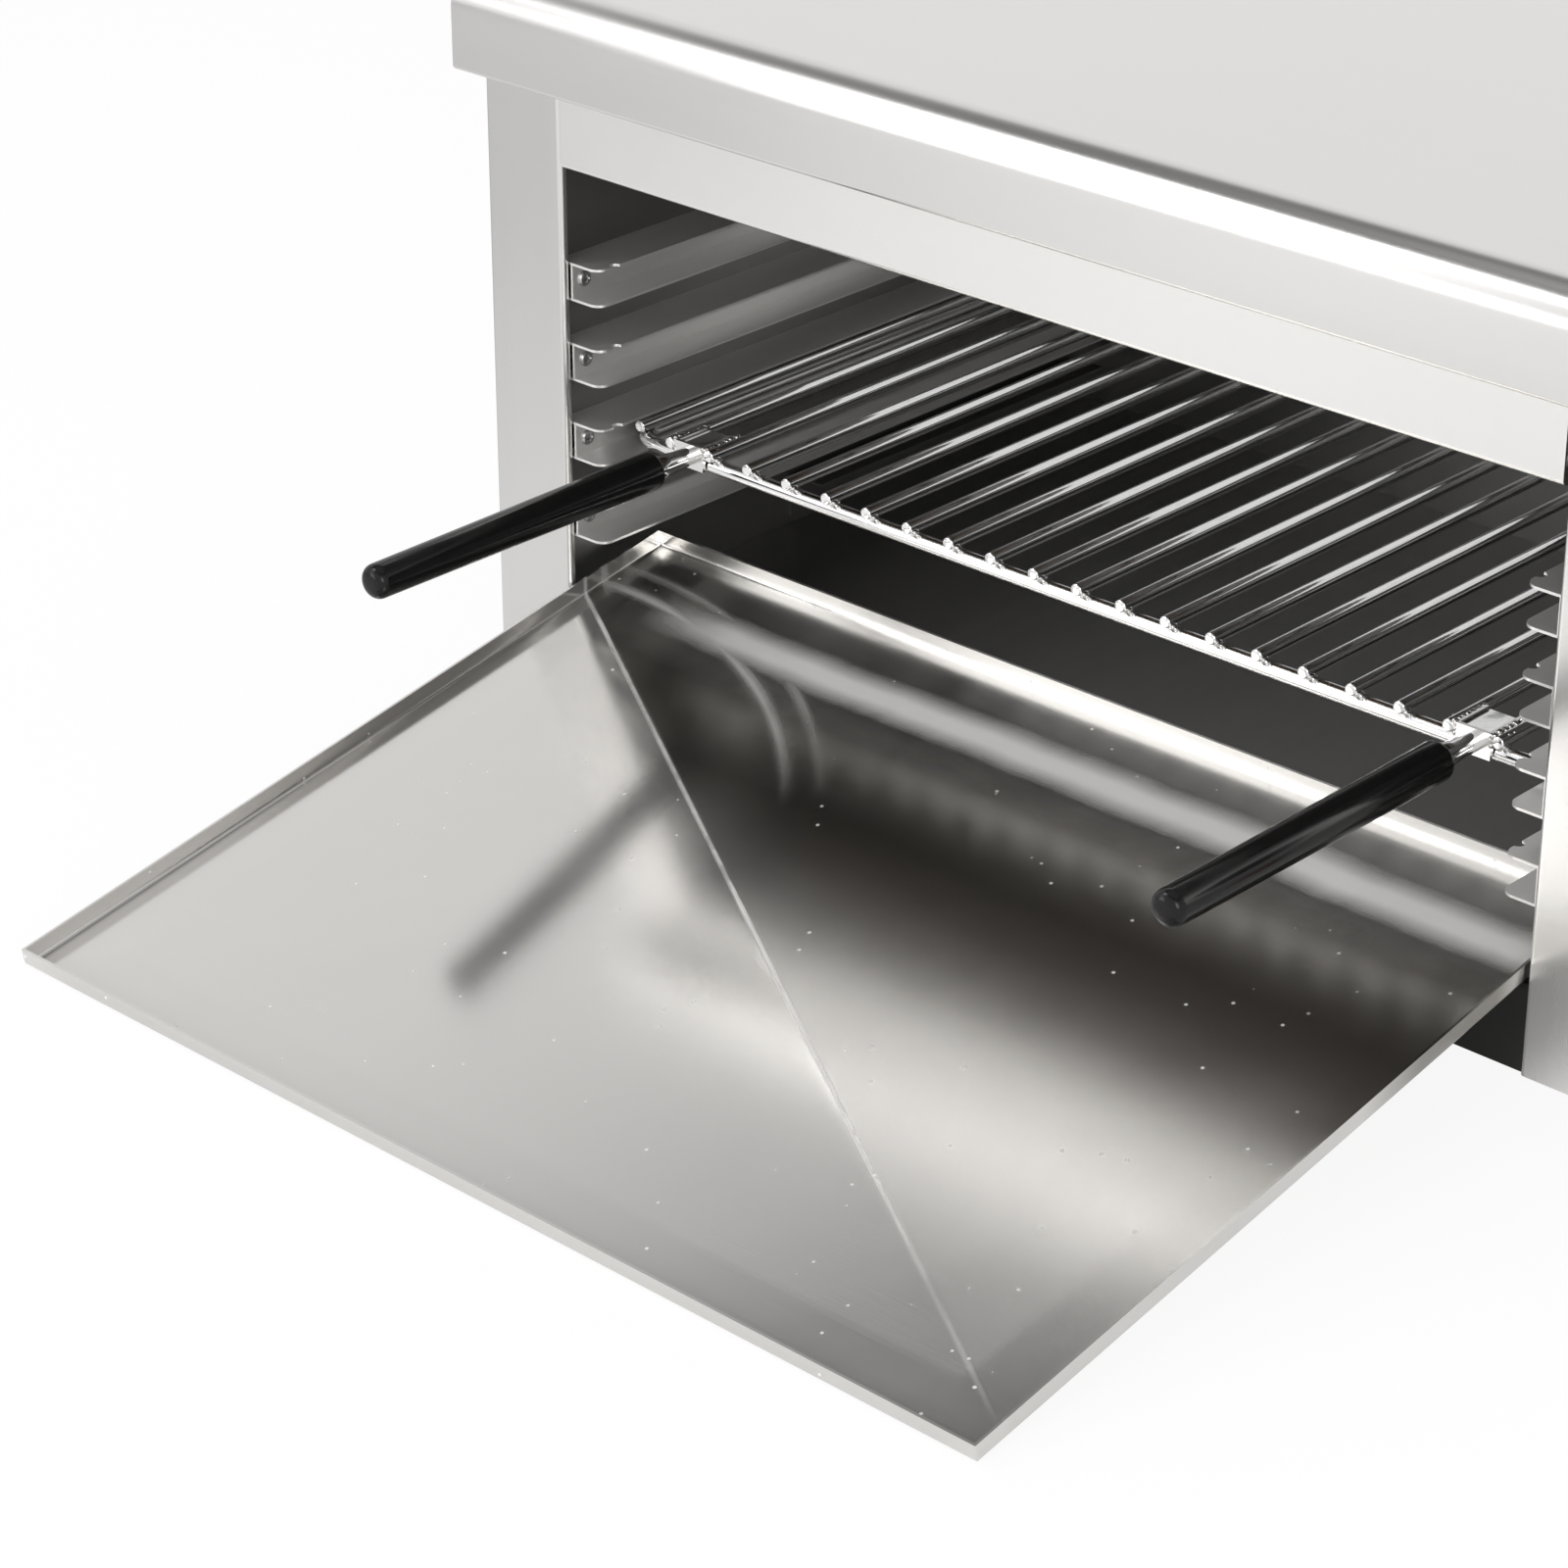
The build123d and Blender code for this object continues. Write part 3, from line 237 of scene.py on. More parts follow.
blend = white.node("ShaderNodeMixShader", {}, {
    0: (OWN_LIGHT * direct).most(MIRRORED_LIGHT * glossy).most(MIRRORED_LIGHT * clear),
    1: Value(white.tree, white.shader.outputs[0]), 2: glow})
white.feed(white.tree.nodes["Material Output"], {"Surface": blend})
floor.data.materials.append(white.material)
print("floor and world ready")

# %% Lamps
def soft_lamp(name, at, to, size, watts, deep=None):
    """A soft lamp, square or of its own depth, that faces a point and isn't itself seen."""
    light = bpy.data.lights.new(name, "AREA")
    light.shape, light.size, light.size_y, light.energy = "RECTANGLE", size * MM, (deep or size) * MM, watts
    lamp = bpy.data.objects.new(name, light)
    scene.collection.objects.link(lamp)
    lamp.location = Vector(at) * MM
    lamp.rotation_euler = (Vector(to) * MM - lamp.location).to_track_quat("-Z", "Y").to_euler()
    lamp.visible_camera = False
    return lamp


front_lamp = soft_lamp("front_lamp", (200, -2300, 1000), (-40, -200, 100), 1300, 22)
front_lamp.visible_glossy = False
soft_lamp("nose_lamp", (-1150, -1030, 1700), (0, -50, 290), 620, 8)
soft_lamp("low_lamp", (-850, -1330, 300), (0, -60, 90), 540, 2.6)
soft_lamp("wall_lamp", (-915, -1000, 740), (-40, 0, 60), 540, 1.0)
soft_lamp("right_lamp", (1500, -1500, 900), (-100, 60, 150), 900, 11)
soft_lamp("inner_lamp", (-40, 195, 219), (-40, 195, 0), 400, 0.11, 130)
soft_lamp("back_lamp", (700, 1900, 1500), (0, 100, 200), 1000, 8)
print("seven soft lamps ready")

# %% [markdown]
# ## Steel finishes
# The casing is satin stainless sheet: a belt has left fine lines all one way, so highlights smear
# across them. A flat grey would look like paint. Noise stretched along one axis gives the lines, a
# broad cloud gives handling marks, and both move the roughness more than the colour.

# %% Brushed steel
STRETCH = {"x": (0.012, 1.0, 1.0), "y": (1.0, 0.012, 1.0), "z": (1.0, 1.0, 0.012)}


def brushed_steel(name, along, pale, dark, rough, swing=0.10, metal=1.0, lines=1500.0, warm=0.014):
    """Satin sheet with belt lines along one axis, broad bands of them, and soft handling marks."""
    f = Finish(name)
    fine = f.noise(f.place(STRETCH[along]), lines, 4.0, 0.7)
    bands = f.noise(f.place(STRETCH[along]), lines / 9, 2.0)
    cloud = f.noise(f.place(), 7.0, 4.0, 0.6)
    share = 0.30 * fine + 0.30 * bands + 0.40 * cloud
    return f.surface(
        Base_Color=f.mix(share, shade(dark, warm), shade(pale, warm)), Metallic=metal,
        Roughness=rough - 0.5 * swing + swing * (0.5 * fine + 0.5 * cloud),
        Normal=f.bump(0.7 * fine + 0.3 * bands, 0.00003, 0.25))


casing_across = brushed_steel("casing_steel_across", "x", 0.84, 0.76, 0.26)
casing_upright = brushed_steel("casing_steel_upright", "z", 0.84, 0.76, 0.26)
casing_side = brushed_steel("casing_steel_side", "z", 0.70, 0.62, 0.26)
casing_deep = brushed_steel("casing_steel_deep", "y", 0.82, 0.74, 0.28)
hood_steel = brushed_steel("hood_steel", "x", 0.74, 0.66, 0.22)
# Painted shade: the lower front panel is the same steel, made near black where it would mirror the shaded
# floor under the tray.
shade_painted_panel = brushed_steel("lower_panel_painted_shade", "x", 0.07, 0.05, 0.34)
# The cavity's steel is far darker than the casing's: partly its heat tone, and partly painted shade, as the
# cavity is lit only through its opening.
cavity_steel = brushed_steel("cavity_steel", "y", 0.28, 0.20, 0.36, 0.12, 0.95)
rail_steel = brushed_steel("rail_steel", "y", 0.80, 0.66, 0.30, 0.16, 0.80)
bracket_steel = brushed_steel("bracket_steel", "x", 0.80, 0.62, 0.20, 0.14)
print("brushed steels ready")


# %% Reflector over the elements
def reflector_sheet(name):
    """Aluminised sheet: pale and dull at the back, browned by the heat towards the front, in soft patches."""
    f = Finish(name)
    deep = f.node("ShaderNodeSeparateXYZ", {}, {"Vector": f.place()}, "Y")
    patch = f.noise(f.place(), 22.0, 4.0, 0.6)
    spangle = f.node("ShaderNodeTexVoronoi", {}, {"Vector": f.place(), "Scale": 140.0}, "Color")
    clean = f.ramp(deep * 4.0 + 0.10 * patch, (0.30, 0.0), (0.52, 1.0))
    return f.surface(
        Base_Color=f.mix(clean, (0.17, 0.13, 0.10, 1.0), shade(0.88, 0.01)), Metallic=0.25,
        Roughness=0.42 + 0.10 * patch + 0.06 * f.ramp(spangle, (0.0, 0.0), (1.0, 1.0)))


reflector_steel = reflector_sheet("reflector_steel")
print("reflector ready")

# %% [markdown]
# ## The tray's steel
# The tray is a plainer sheet: satin, lightly scored by cleaning, with small bright nicks and long
# wipe marks. Behind its kink a painted dark reflection of the cavity darkens it. A pale dull band
# along the back, a pale line on the kink, two bent pale streaks beside it and the near-white back
# wall are painted reflections and highlights. Two sets of lines at their own angles give the scores,
# and cells of a Voronoi pattern, of which only a few are kept, give the nicks. The marks are
# placed in metres from the frame's origin.

# %% Tray steel
KINK_SLOPE, KINK_OFF = 0.602, 0.193  # the kink's line: slope * x + y + off = 0
STREAK_OFF = (0.255, 0.2227)  # how far left of the origin and in front of it the streaks' centre lies
UNTIPPED = 1.017  # one over the cosine of the tray's tip


def tray_sheet_steel(name):
    """Satin sheet with scores in two directions, wipe marks, nicks, and painted reflections and highlights.
    """
    f = Finish(name)
    fine = f.noise(f.place(STRETCH["x"]), 1700.0, 4.0, 0.7)
    wipes = f.noise(f.place((1.0, 0.25, 1.0), (0, 0, 0.5)), 16.0, 4.0, 0.6)
    scores = [f.ramp(f.noise(f.place((0.03, 1.0, 1.0), (0, 0, turn)), 260.0, 2.0), (0.77, 0.0), (0.82, 1.0))
              for turn in (0.55, -0.9)]
    score = scores[0].most(scores[1])
    cell = {"Vector": f.place(), "Scale": 120.0}
    near = f.node("ShaderNodeTexVoronoi", {}, cell, "Distance")
    pick = f.node("ShaderNodeTexVoronoi", {}, cell, "Color")
    nick = f.ramp(near, (0.05, 1.0), (0.10, 0.0)) * f.ramp(pick, (0.62, 0.0), (0.64, 1.0))
    wide, deep = [f.node("ShaderNodeSeparateXYZ", {}, {"Vector": f.place()}, axis) for axis in "XY"]
    off_kink = 0.5 + 10.0 * (KINK_SLOPE * wide + deep + KINK_OFF)
    behind_kink = f.ramp(off_kink, (0.49, 0.0), (0.52, 1.0))
    off_middle = wide.maths("ABSOLUTE", wide + TRAY_OFF)
    lined = f.ramp(off_middle * 2.0, (0.436, 1.0), (0.442, 0.0)) * fine
    back = 5.0 * deep + 1.0
    # Painted dark reflection: behind the kink, a band of the floor is darkened where it would mirror the dark
    # cavity.
    painted_dark_reflection = behind_kink * f.ramp(back + 0.08 * wipes, (0.40, 0.0), (0.56, 0.8), (0.76, 0.8), (0.82, 0.15))
    # Painted reflection: a pale, dull band along the back stands for the bright band the floor mirrors there.
    dull = behind_kink * f.ramp(back + 0.05 * wipes, (0.82, 0.0), (0.87, 1.0), (0.90, 1.0), (0.95, 0.0))
    dull = dull * f.ramp(wide + 0.5, (0.265, 0.0), (0.31, 1.0))
    # Painted highlight: a pale line along the kink's ridge.
    painted_kink_highlight = f.ramp(off_kink, (0.482, 0.0), (0.494, 1.0), (0.502, 1.0), (0.512, 0.0))
    painted_kink_highlight = painted_kink_highlight * f.ramp(wipes, (0.35, 0.3), (0.62, 1.0)) * f.ramp(deep + 0.5, (0.20, 0.15), (0.36, 1.0))
    # Painted highlights: two bent pale streaks along the buckles beside the kink.
    off_x, off_y = wide + STREAK_OFF[0], (deep + STREAK_OFF[1]) * UNTIPPED
    reach = wide.maths("SQRT", off_x * off_x + off_y * off_y)
    turn = wide.maths("ARCTAN2", off_y, off_x)
    held = f.ramp(turn * 0.5, (0.34, 0.0), (0.46, 1.0), (0.78, 1.0), (0.85, 0.0))
    streaks = f.ramp(reach * 2.0, (0.397, 0.0), (0.403, 0.75), (0.411, 0.0),
                     (0.424, 0.0), (0.428, 0.5), (0.434, 0.0))
    dull = dull.most(painted_kink_highlight).most(held * streaks * behind_kink).most(0.9 * nick)
    # Painted highlight: the back wall is the same sheet, made near white to stand for its bright reflection.
    rear = f.ramp(deep + 0.5, (0.5060, 0.0), (0.5070, 1.0))
    share = (0.35 * fine + 0.65 * wipes).most(nick)
    sheet = f.mix(share, shade(0.59, 0.02), shade(0.71, 0.02))
    sheet = f.mix(painted_dark_reflection, sheet, (0.20, 0.19, 0.17, 1.0))
    sheet = f.mix(rear, sheet, shade(0.94, 0.01))
    return f.surface(
        Base_Color=f.mix(0.6 * dull, sheet, shade(0.85, 0.01)), Metallic=0.88 + 0.12 * behind_kink - 0.62 * dull,
        Roughness=0.10 + 0.03 * fine + 0.07 * wipes + 0.05 * score + 0.2 * nick + 0.07 * behind_kink + 0.2 * dull,
        Normal=f.bump(0.5 * lined + 0.2 * score + 0.5 * nick, 0.00003, 0.5))


tray_steel = tray_sheet_steel("tray_steel")
print("tray steel ready")

# %% [markdown]
# ## Wire, screws and other bright metal
# The rack's wire is chromed: nearly a mirror, but drawn wire keeps shallow dents and the plating a
# faint haze. Screws and bezels are plated steel with a little wear. They share one recipe with
# their own colours and haze.

# %% Plated metals
def plated(name, pale, dark, rough, dent=0.00005, warm=0.0):
    """Bright plating: haze in patches, fine dents from the wire or the press."""
    f = Finish(name)
    haze = f.noise(f.place(), 60.0, 4.0, 0.6)
    dents = f.noise(f.place(), 420.0, 3.0, 0.5)
    return f.surface(
        Base_Color=f.mix(haze, shade(dark, warm), shade(pale, warm)), Metallic=1.0,
        Roughness=rough + 0.12 * haze ** 2.0, Normal=f.bump(dents, dent, 0.35))


rack_chrome = plated("rack_chrome", 0.90, 0.80, 0.06)
weld_metal = plated("weld_metal", 0.72, 0.48, 0.20, 0.0003, 0.02)
stub_steel = plated("stub_steel", 0.88, 0.76, 0.08)
screw_steel = plated("screw_steel", 0.52, 0.36, 0.26)
bezel_chrome = plated("bezel_chrome", 0.85, 0.74, 0.10)
shaft_steel = plated("shaft_steel", 0.62, 0.48, 0.30)
hanger_steel = plated("hanger_steel", 0.46, 0.30, 0.36, 0.0001)
bulb_copper = plated("bulb_copper", 0.62, 0.40, 0.28, 0.00005, 0.30)
print("plated metals ready")

# %% [markdown]
# ## Plastics, rubber, ceramic and the element sheath
# These are the pieces that aren't bright steel. Moulded plastic has a fine texture and a skin that
# shines a little more where it is handled; rubber is dull with dust in its grain; the sheath of an
# element that has been hot is a dark, patchy oxide. One recipe with two colours, a grain and a coat
# covers them.

# %% Moulded and fired finishes
def moulded(name, main, second, rough, grain, depth, coat=0.0, metal=0.0, gloss=0.5):
    """A matt or glossy skin: two colours in patches, a fine grain, and an even coat of gloss."""
    f = Finish(name)
    patch = f.noise(f.place(), 45.0, 4.0, 0.6)
    skin = f.noise(f.place(), grain, 3.0, 0.6)
    f.shader.inputs["Coat Roughness"].default_value = 0.05
    return f.surface(
        Base_Color=f.mix(0.6 * patch + 0.4 * skin, main, second), Metallic=metal,
        Roughness=rough - 0.06 + 0.12 * patch + 0.06 * skin, Coat_Weight=coat, Specular_IOR_Level=gloss,
        Normal=f.bump(skin, depth, 0.4))


grip_black = moulded("grip_black", shade(0.004), shade(0.008), 0.14, 500, 0.00001, 0.08, 0.0, 0.18)
knob_black = moulded("knob_black", shade(0.010), shade(0.022), 0.36, 1600, 0.00004)
switch_black = moulded("switch_black", shade(0.012), shade(0.026), 0.42, 1800, 0.00005)
rocker_red = moulded("rocker_red", (0.30, 0.010, 0.008, 1), (0.42, 0.018, 0.012, 1), 0.30, 1500, 0.00003, 0.3)
gland_black = moulded("gland_black", shade(0.014), shade(0.030), 0.46, 1400, 0.00006)
foot_rubber = moulded("foot_rubber", shade(0.012), (0.045, 0.043, 0.040, 1), 0.72, 1100, 0.00012)
stat_plastic = moulded("stat_plastic", (0.05, 0.045, 0.04, 1), (0.08, 0.07, 0.06, 1), 0.50, 900, 0.00005)
block_white = moulded("block_white", (0.62, 0.60, 0.55, 1), (0.72, 0.70, 0.66, 1), 0.45, 900, 0.00005)
lead_silicone = moulded("lead_silicone", (0.34, 0.05, 0.03, 1), (0.42, 0.08, 0.05, 1), 0.50, 700, 0.00005)
insulator_white = moulded("insulator_white", (0.66, 0.64, 0.58, 1), (0.76, 0.74, 0.70, 1), 0.38, 800, 0.00006)
element_sheath = moulded("element_sheath", (0.08, 0.065, 0.055, 1), (0.22, 0.19, 0.17, 1), 0.48, 500, 0.0001,
                         metal=0.8)
dial_print = moulded("dial_print", (0.62, 0.62, 0.61, 1), (0.70, 0.70, 0.69, 1), 0.34, 1500, 0.00002)
print_black = moulded("print_black", shade(0.012), shade(0.03), 0.45, 2500, 0.00002)
print_white = moulded("print_white", (0.76, 0.76, 0.75, 1), (0.82, 0.82, 0.81, 1), 0.45, 2500, 0.00002)
lamp_green = moulded("lamp_green", (0.010, 0.16, 0.03, 1), (0.02, 0.26, 0.06, 1), 0.12, 700, 0.0001, 0.6)
lamp_amber = moulded("lamp_amber", (0.50, 0.17, 0.01, 1), (0.62, 0.25, 0.02, 1), 0.12, 700, 0.0001, 0.6)
print("plastics, rubber and ceramic ready")

# %% [markdown]
# ## Surfaces from grids of points
# Every new piece is a surface with two parameters: rows and columns of points, worked out as whole
# arrays. Joining neighbours gives quads. Points that fall together, at a pole or a seam, are merged,
# so each shell closes, and then its faces are turned outwards. Edges sharper than a set angle stay
# crisp and all else is shaded smooth.


# %% Grids into pieces
SAME_POINT = 0.000002


def grid_quads(rows, columns, wrap):
    """Corner numbers of each cell of a grid; where it wraps, the last column joins the first."""
    i, j = np.meshgrid(np.arange(rows - 1), np.arange(columns if wrap else columns - 1), indexing="ij")
    k = (j + 1) % columns
    this, below = i * columns, (i + 1) * columns
    return np.stack([this + j, below + j, below + k, this + k], -1).reshape(-1, 4)


def make_piece(name, grids, finish, body, stands_for=(), crisp=32.0):
    """Joins grids of points in millimetres into a piece.

    A grid is (copies, rows, columns, 3) or one copy of it, and comes with True where its last column
    meets its first.
    """
    points, quads, count = [], [], 0
    for grid, wrap in grids:
        grid = grid if grid.ndim == 4 else grid[None]
        copies, rows, columns, _ = grid.shape
        starts = count + rows * columns * np.arange(copies)
        quads.append((grid_quads(rows, columns, wrap)[None] + starts[:, None, None]).reshape(-1, 4))
        points.append(grid.reshape(-1, 3))
        count += copies * rows * columns
    points, quads = np.concatenate(points), np.concatenate(quads).tolist()
    build_piece(name, points, quads, finish, body, stands_for, crisp)


def build_piece(name, points, faces, finish, body, stands_for, crisp):
    """Makes a piece of points in millimetres and faces: merged, turned outwards, shaded, on its body."""
    mesh = bpy.data.meshes.new(name)
    mesh.from_pydata((points * MM).tolist(), [], faces)
    work = bmesh.new()
    work.from_mesh(mesh)
    bmesh.ops.remove_doubles(work, verts=work.verts, dist=SAME_POINT)
    bmesh.ops.dissolve_degenerate(work, edges=work.edges, dist=SAME_POINT / 2)
    bmesh.ops.recalc_face_normals(work, faces=work.faces)
    work.to_mesh(mesh)
    work.free()
    mesh.shade_smooth()
    mesh.set_sharp_from_angle(angle=math.radians(crisp))
    piece = bpy.data.objects.new(name, mesh)
    scene.collection.objects.link(piece)
    mesh.materials.append(finish)
    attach(piece, body)
    if stands_for:
        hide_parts(*stands_for)
    print(name, len(mesh.polygons), "faces, on", body)


def turned(along, radius, at, axis, sides):
    """A turned surface: distances along an axis and the radius at each, carried round a circle.

    Radius and distance may be one number a row, or one for each row and angle. The axis is "y" for
    -Y, out of the front, "-y" for +Y, or "x", "-x" or "z".
    """
    angle = np.linspace(0, 2 * np.pi, sides, endpoint=False)
    r = np.asarray(radius, float)
    d = np.asarray(along, float)
    r = r if r.ndim == 2 else np.repeat(r[:, None], sides, 1)
    d = d if d.ndim == 2 else np.repeat(d[:, None], sides, 1)
    a, b = r * np.cos(angle), r * np.sin(angle)
    frames = {"y": (a, -d, b), "-y": (a, d, b), "x": (d, a, b), "-x": (-d, a, b), "z": (a, b, d)}
    return np.stack(frames[axis], -1) + np.asarray(at, float)


def round_corner(centre, radius, start, stop, steps):
    """Points of an arc between two angles in degrees."""
    angle = np.radians(np.linspace(start, stop, steps))
    return np.stack([centre[0] + radius * np.cos(angle), centre[1] + radius * np.sin(angle)], -1)


def caps(skin):
    """Fans that close the first and last rows of a skin, or of each of its copies, at their middles."""
    ends = [skin[..., row, :, :] for row in (0, -1)]
    middles = [np.broadcast_to(end.mean(-2, keepdims=True), end.shape) for end in ends]
    return [(np.stack(pair, -3), True) for pair in zip(ends, middles)]


print("surface words ready")

# %% [markdown]
# ## The hood
# The hood is one sheet folded over the cabinet: a short hem turned in under its front, a straight
# front, a generous rounded nose, the flat top and a small drop at the back. A bevelled box would
# lose the hem and the sheet's thickness. The fold line is drawn in the side view, the sheet's inner
# face is the same line moved in by the sheet, and the pair is carried across the cabinet's width.

# %% Folded sheets
def folded_line(corners, radii, inset, steps):
    """A line through corners with rounded folds, moved to its right by the inset, in two dimensions.

    At each corner the arc touches both straight runs, and a move to the right changes its radius.
    """
    corners = [np.asarray(c, float) for c in corners]
    lines = []
    for before, corner, after, radius in zip(corners, corners[1:], corners[2:], radii):
        a, b = corner - before, after - corner
        a, b = a / np.linalg.norm(a), b / np.linalg.norm(b)
        turn = a[0] * b[1] - a[1] * b[0]
        side = np.array([-a[1], a[0]]) * np.sign(turn)
        bend = math.acos(np.clip(a @ b, -1, 1))
        middle = corner - a * radius * math.tan(bend / 2) + side * radius
        angle = np.linspace(0, bend, steps)[:, None]
        lines.append(middle + (radius + inset * np.sign(turn)) * (np.sin(angle) * a - np.cos(angle) * side))
    first, last = corners[1] - corners[0], corners[-1] - corners[-2]
    right = [np.array([v[1], -v[0]]) / np.linalg.norm(v) * inset for v in (first, last)]
    return np.concatenate([[corners[0] + right[0]], *lines, [corners[-1] + right[1]]])


def folded_sheet(corners, radii, sheet, x_from, x_to, steps):
    """A folded sheet: its outer and inner lines in the YZ plane, joined into a ring and carried along X."""
    outer = folded_line(corners, radii, 0.0, steps)
    inner = folded_line(corners, radii, sheet, steps)
    ring = np.concatenate([outer, inner[::-1]])
    skin = np.stack([np.insert(ring, 0, x, 1) for x in (x_from, x_to)])
    ends = [np.stack([np.insert(outer, 0, x, 1), np.insert(inner, 0, x, 1)]) for x in (x_from, x_to)]
    return [(skin, True), (ends[0], False), (ends[1], False)]


SHEET = 1.0
X_LEFT, X_RIGHT, X_MID = -305.0, 305.0, -40.0
Y_FRONT, Y_BACK = -41.52, 303.48
Z_HOOD, Z_TOP = 262.0, 300.0
HOOD_OUT, HOOD_SIDE, HOOD_HEM, HOOD_DROP = 14, 2, 9, 16
HOOD_FOLDS = (2, 14, 2)

hood_y = Y_FRONT - HOOD_OUT
hood_line = [(hood_y + HOOD_HEM, Z_HOOD), (hood_y, Z_HOOD), (hood_y, Z_TOP), (Y_BACK, Z_TOP),
             (Y_BACK, Z_TOP - HOOD_DROP)]
hood_skin = folded_sheet(hood_line, HOOD_FOLDS, SHEET, X_LEFT - HOOD_SIDE, X_RIGHT + HOOD_SIDE, 28)
make_piece("hood_sheet", hood_skin, hood_steel, "cabinet", ["top_hood"])

# %% [markdown]
# ## The drip tray
# A shallow pan bent from one thin sheet, with low plain walls and tight folds. A box with a hole
# would have dead sharp corners and a perfect floor. This one is a grid whose outer rows climb the
# walls round a small fold. Thin sheet never lies flat: the floor has a slow swell, one kink that runs
# from the left wall to the front right corner, and small buckles at the back, all under a millimetre,
# and they bend the reflections. The outer face is the same grid a sheet's thickness out, and a narrow
# rim joins the two with crisp edges.

# %% Drip tray
TRAY_LONG, TRAY_WIDE, TRAY_WALL = 330.0, 448.2, 7.6
TRAY_TIP = math.radians(10.5)
TRAY_EDGE = (-316.09, 0.4)
PAN_FOLD = 1.2
KINK_AT, KINK_HIGH, KINK_WIDE = 147.4, 0.60, 38
BUCKLE_AT, BUCKLE_R = (-215, 95), (202, 214)


def pan_run(length, fold, inside, out):
    """Distances and heights across a pan: down a wall, round its fold, along the floor, and up again.

    A move out by a sheet makes the fold's radius larger and moves the straight runs.
    """
    arc = round_corner((fold, fold), fold + out, 180, 270, 7)
    wall = np.array([(-out, TRAY_WALL - SHEET), (-out, (TRAY_WALL + fold) / 2)])
    near = np.concatenate([wall, arc])
    floor_run = np.stack([np.linspace(fold, length - fold, inside)[1:-1], np.full(inside - 2, -out)], -1)
    far = near[::-1] * (-1, 1) + (length, 0)
    return np.concatenate([near, floor_run, far])


def pan_surface(wide, long, fold, out):
    """The pan's inner face, or its outer face a sheet further out.

    Height is the higher of its two runs' heights, plus the floor's own rise: a slow swell of two sine
    bumps, a kink that falls off exponentially on both sides of a line from the left wall to the front
    right corner, and two bell-shaped buckles along arcs near the back left corner. All of it fades to
    nothing at the walls.
    """
    across, along = pan_run(wide - 2 * SHEET, fold, 200, out), pan_run(long - 2 * SHEET, fold, 150, out)
    u, v = np.meshgrid(across[:, 0], along[:, 0], indexing="ij")
    lift = np.maximum(*np.meshgrid(across[:, 1], along[:, 1], indexing="ij"))
    x, s = u - wide / 2 + SHEET, v + SHEET
    p, q = u / (wide - 2 * SHEET), v / (long - 2 * SHEET)
    fade = np.clip(np.minimum(np.minimum(p, 1 - p) * 18, np.minimum(q, 1 - q) * 14), 0, 1)
    swell = 0.06 * np.sin(5.3 * p + 1.1) * np.cos(4.1 * q - 0.4) + 0.03 * np.sin(9.0 * (p - q) + 0.6)
    off_kink = (x * KINK_SLOPE + (s - KINK_AT)) / math.hypot(KINK_SLOPE, 1.0)
    kink = KINK_HIGH * np.exp(-np.abs(off_kink) / KINK_WIDE)
    dx, ds = x - BUCKLE_AT[0], s - BUCKLE_AT[1]
    reach, angle = np.hypot(dx, ds), np.degrees(np.arctan2(ds, dx))
    held = np.clip((angle - 40) / 15, 0, 1) * np.clip((98 - angle) / 12, 0, 1)
    near, far = np.exp(-((reach - BUCKLE_R[0]) / 5) ** 2), np.exp(-((reach - BUCKLE_R[1]) / 4) ** 2)
    buckle = held * (0.22 * near + 0.12 * far)
    rise = fade * (0.15 + swell + kink + buckle)
    return x, s, lift + SHEET + rise * (lift < 0.01 - out)


def tipped(x, s, h):
    """Places of the tray's own coordinates when it is drawn out: tipped about its front lower edge."""
    y = TRAY_EDGE[0] + s * math.cos(TRAY_TIP) - h * math.sin(TRAY_TIP)
    return np.stack([X_MID + x, y, TRAY_EDGE[1] + s * math.sin(TRAY_TIP) + h * math.cos(TRAY_TIP)], -1)


pan, skin = [tipped(*pan_surface(TRAY_WIDE, TRAY_LONG, PAN_FOLD, out)) for out in (0.0, SHEET)]
rim = [np.stack([pan[edge], skin[edge]]) for edge in (0, -1, np.s_[:, 0], np.s_[:, -1])]
make_piece("tray_pan", [(grid, False) for grid in (pan, skin, *rim)], tray_steel, "tray",
           ["drip_tray"], 50)
print("tray of", pan.shape[0], "by", pan.shape[1], "points a face")

# %% [markdown]
# ## The rack's wire
# The rack is a bent frame of 6 mm wire with twenty-two 5 mm rods laid across it, each cut square with
# its edge broken, and welded where it crosses. A curve with a bevel could make them, but a turned
# surface gives the cut ends too. The frame is a circle carried round a rounded rectangle.

# %% Rods and frame
RACK_HALF, ROD_HALF, RODS = 217.0, 212.0, 22
Y_RACK, Y_RACK_END = -14.02, 267.98
Z_FRAME, Z_RODS = 115.79, 121.34
ROD_R, FRAME_R, FRAME_CORNER, ROD_BROKEN = 2.5, 3.0, 14.0, 0.8
ROD_OVER, OUTER_ROD_BACK = 2.0, 4.0
Y_ROD = Y_RACK - FRAME_R - ROD_OVER
rod_x = X_MID - ROD_HALF + np.arange(RODS) * 2 * ROD_HALF / (RODS - 1)


def cut_rod(length):
    """Distances and radii of a rod: a flat end, its broken edge, the run, and the same at the far end."""
    edge = round_corner((ROD_BROKEN, ROD_R - ROD_BROKEN), ROD_BROKEN, 180, 90, 5)
    half = np.concatenate([[(0.0, 0.0)], edge])
    return np.concatenate([half, (half * (-1, 1) + (length, 0))[::-1]]).T


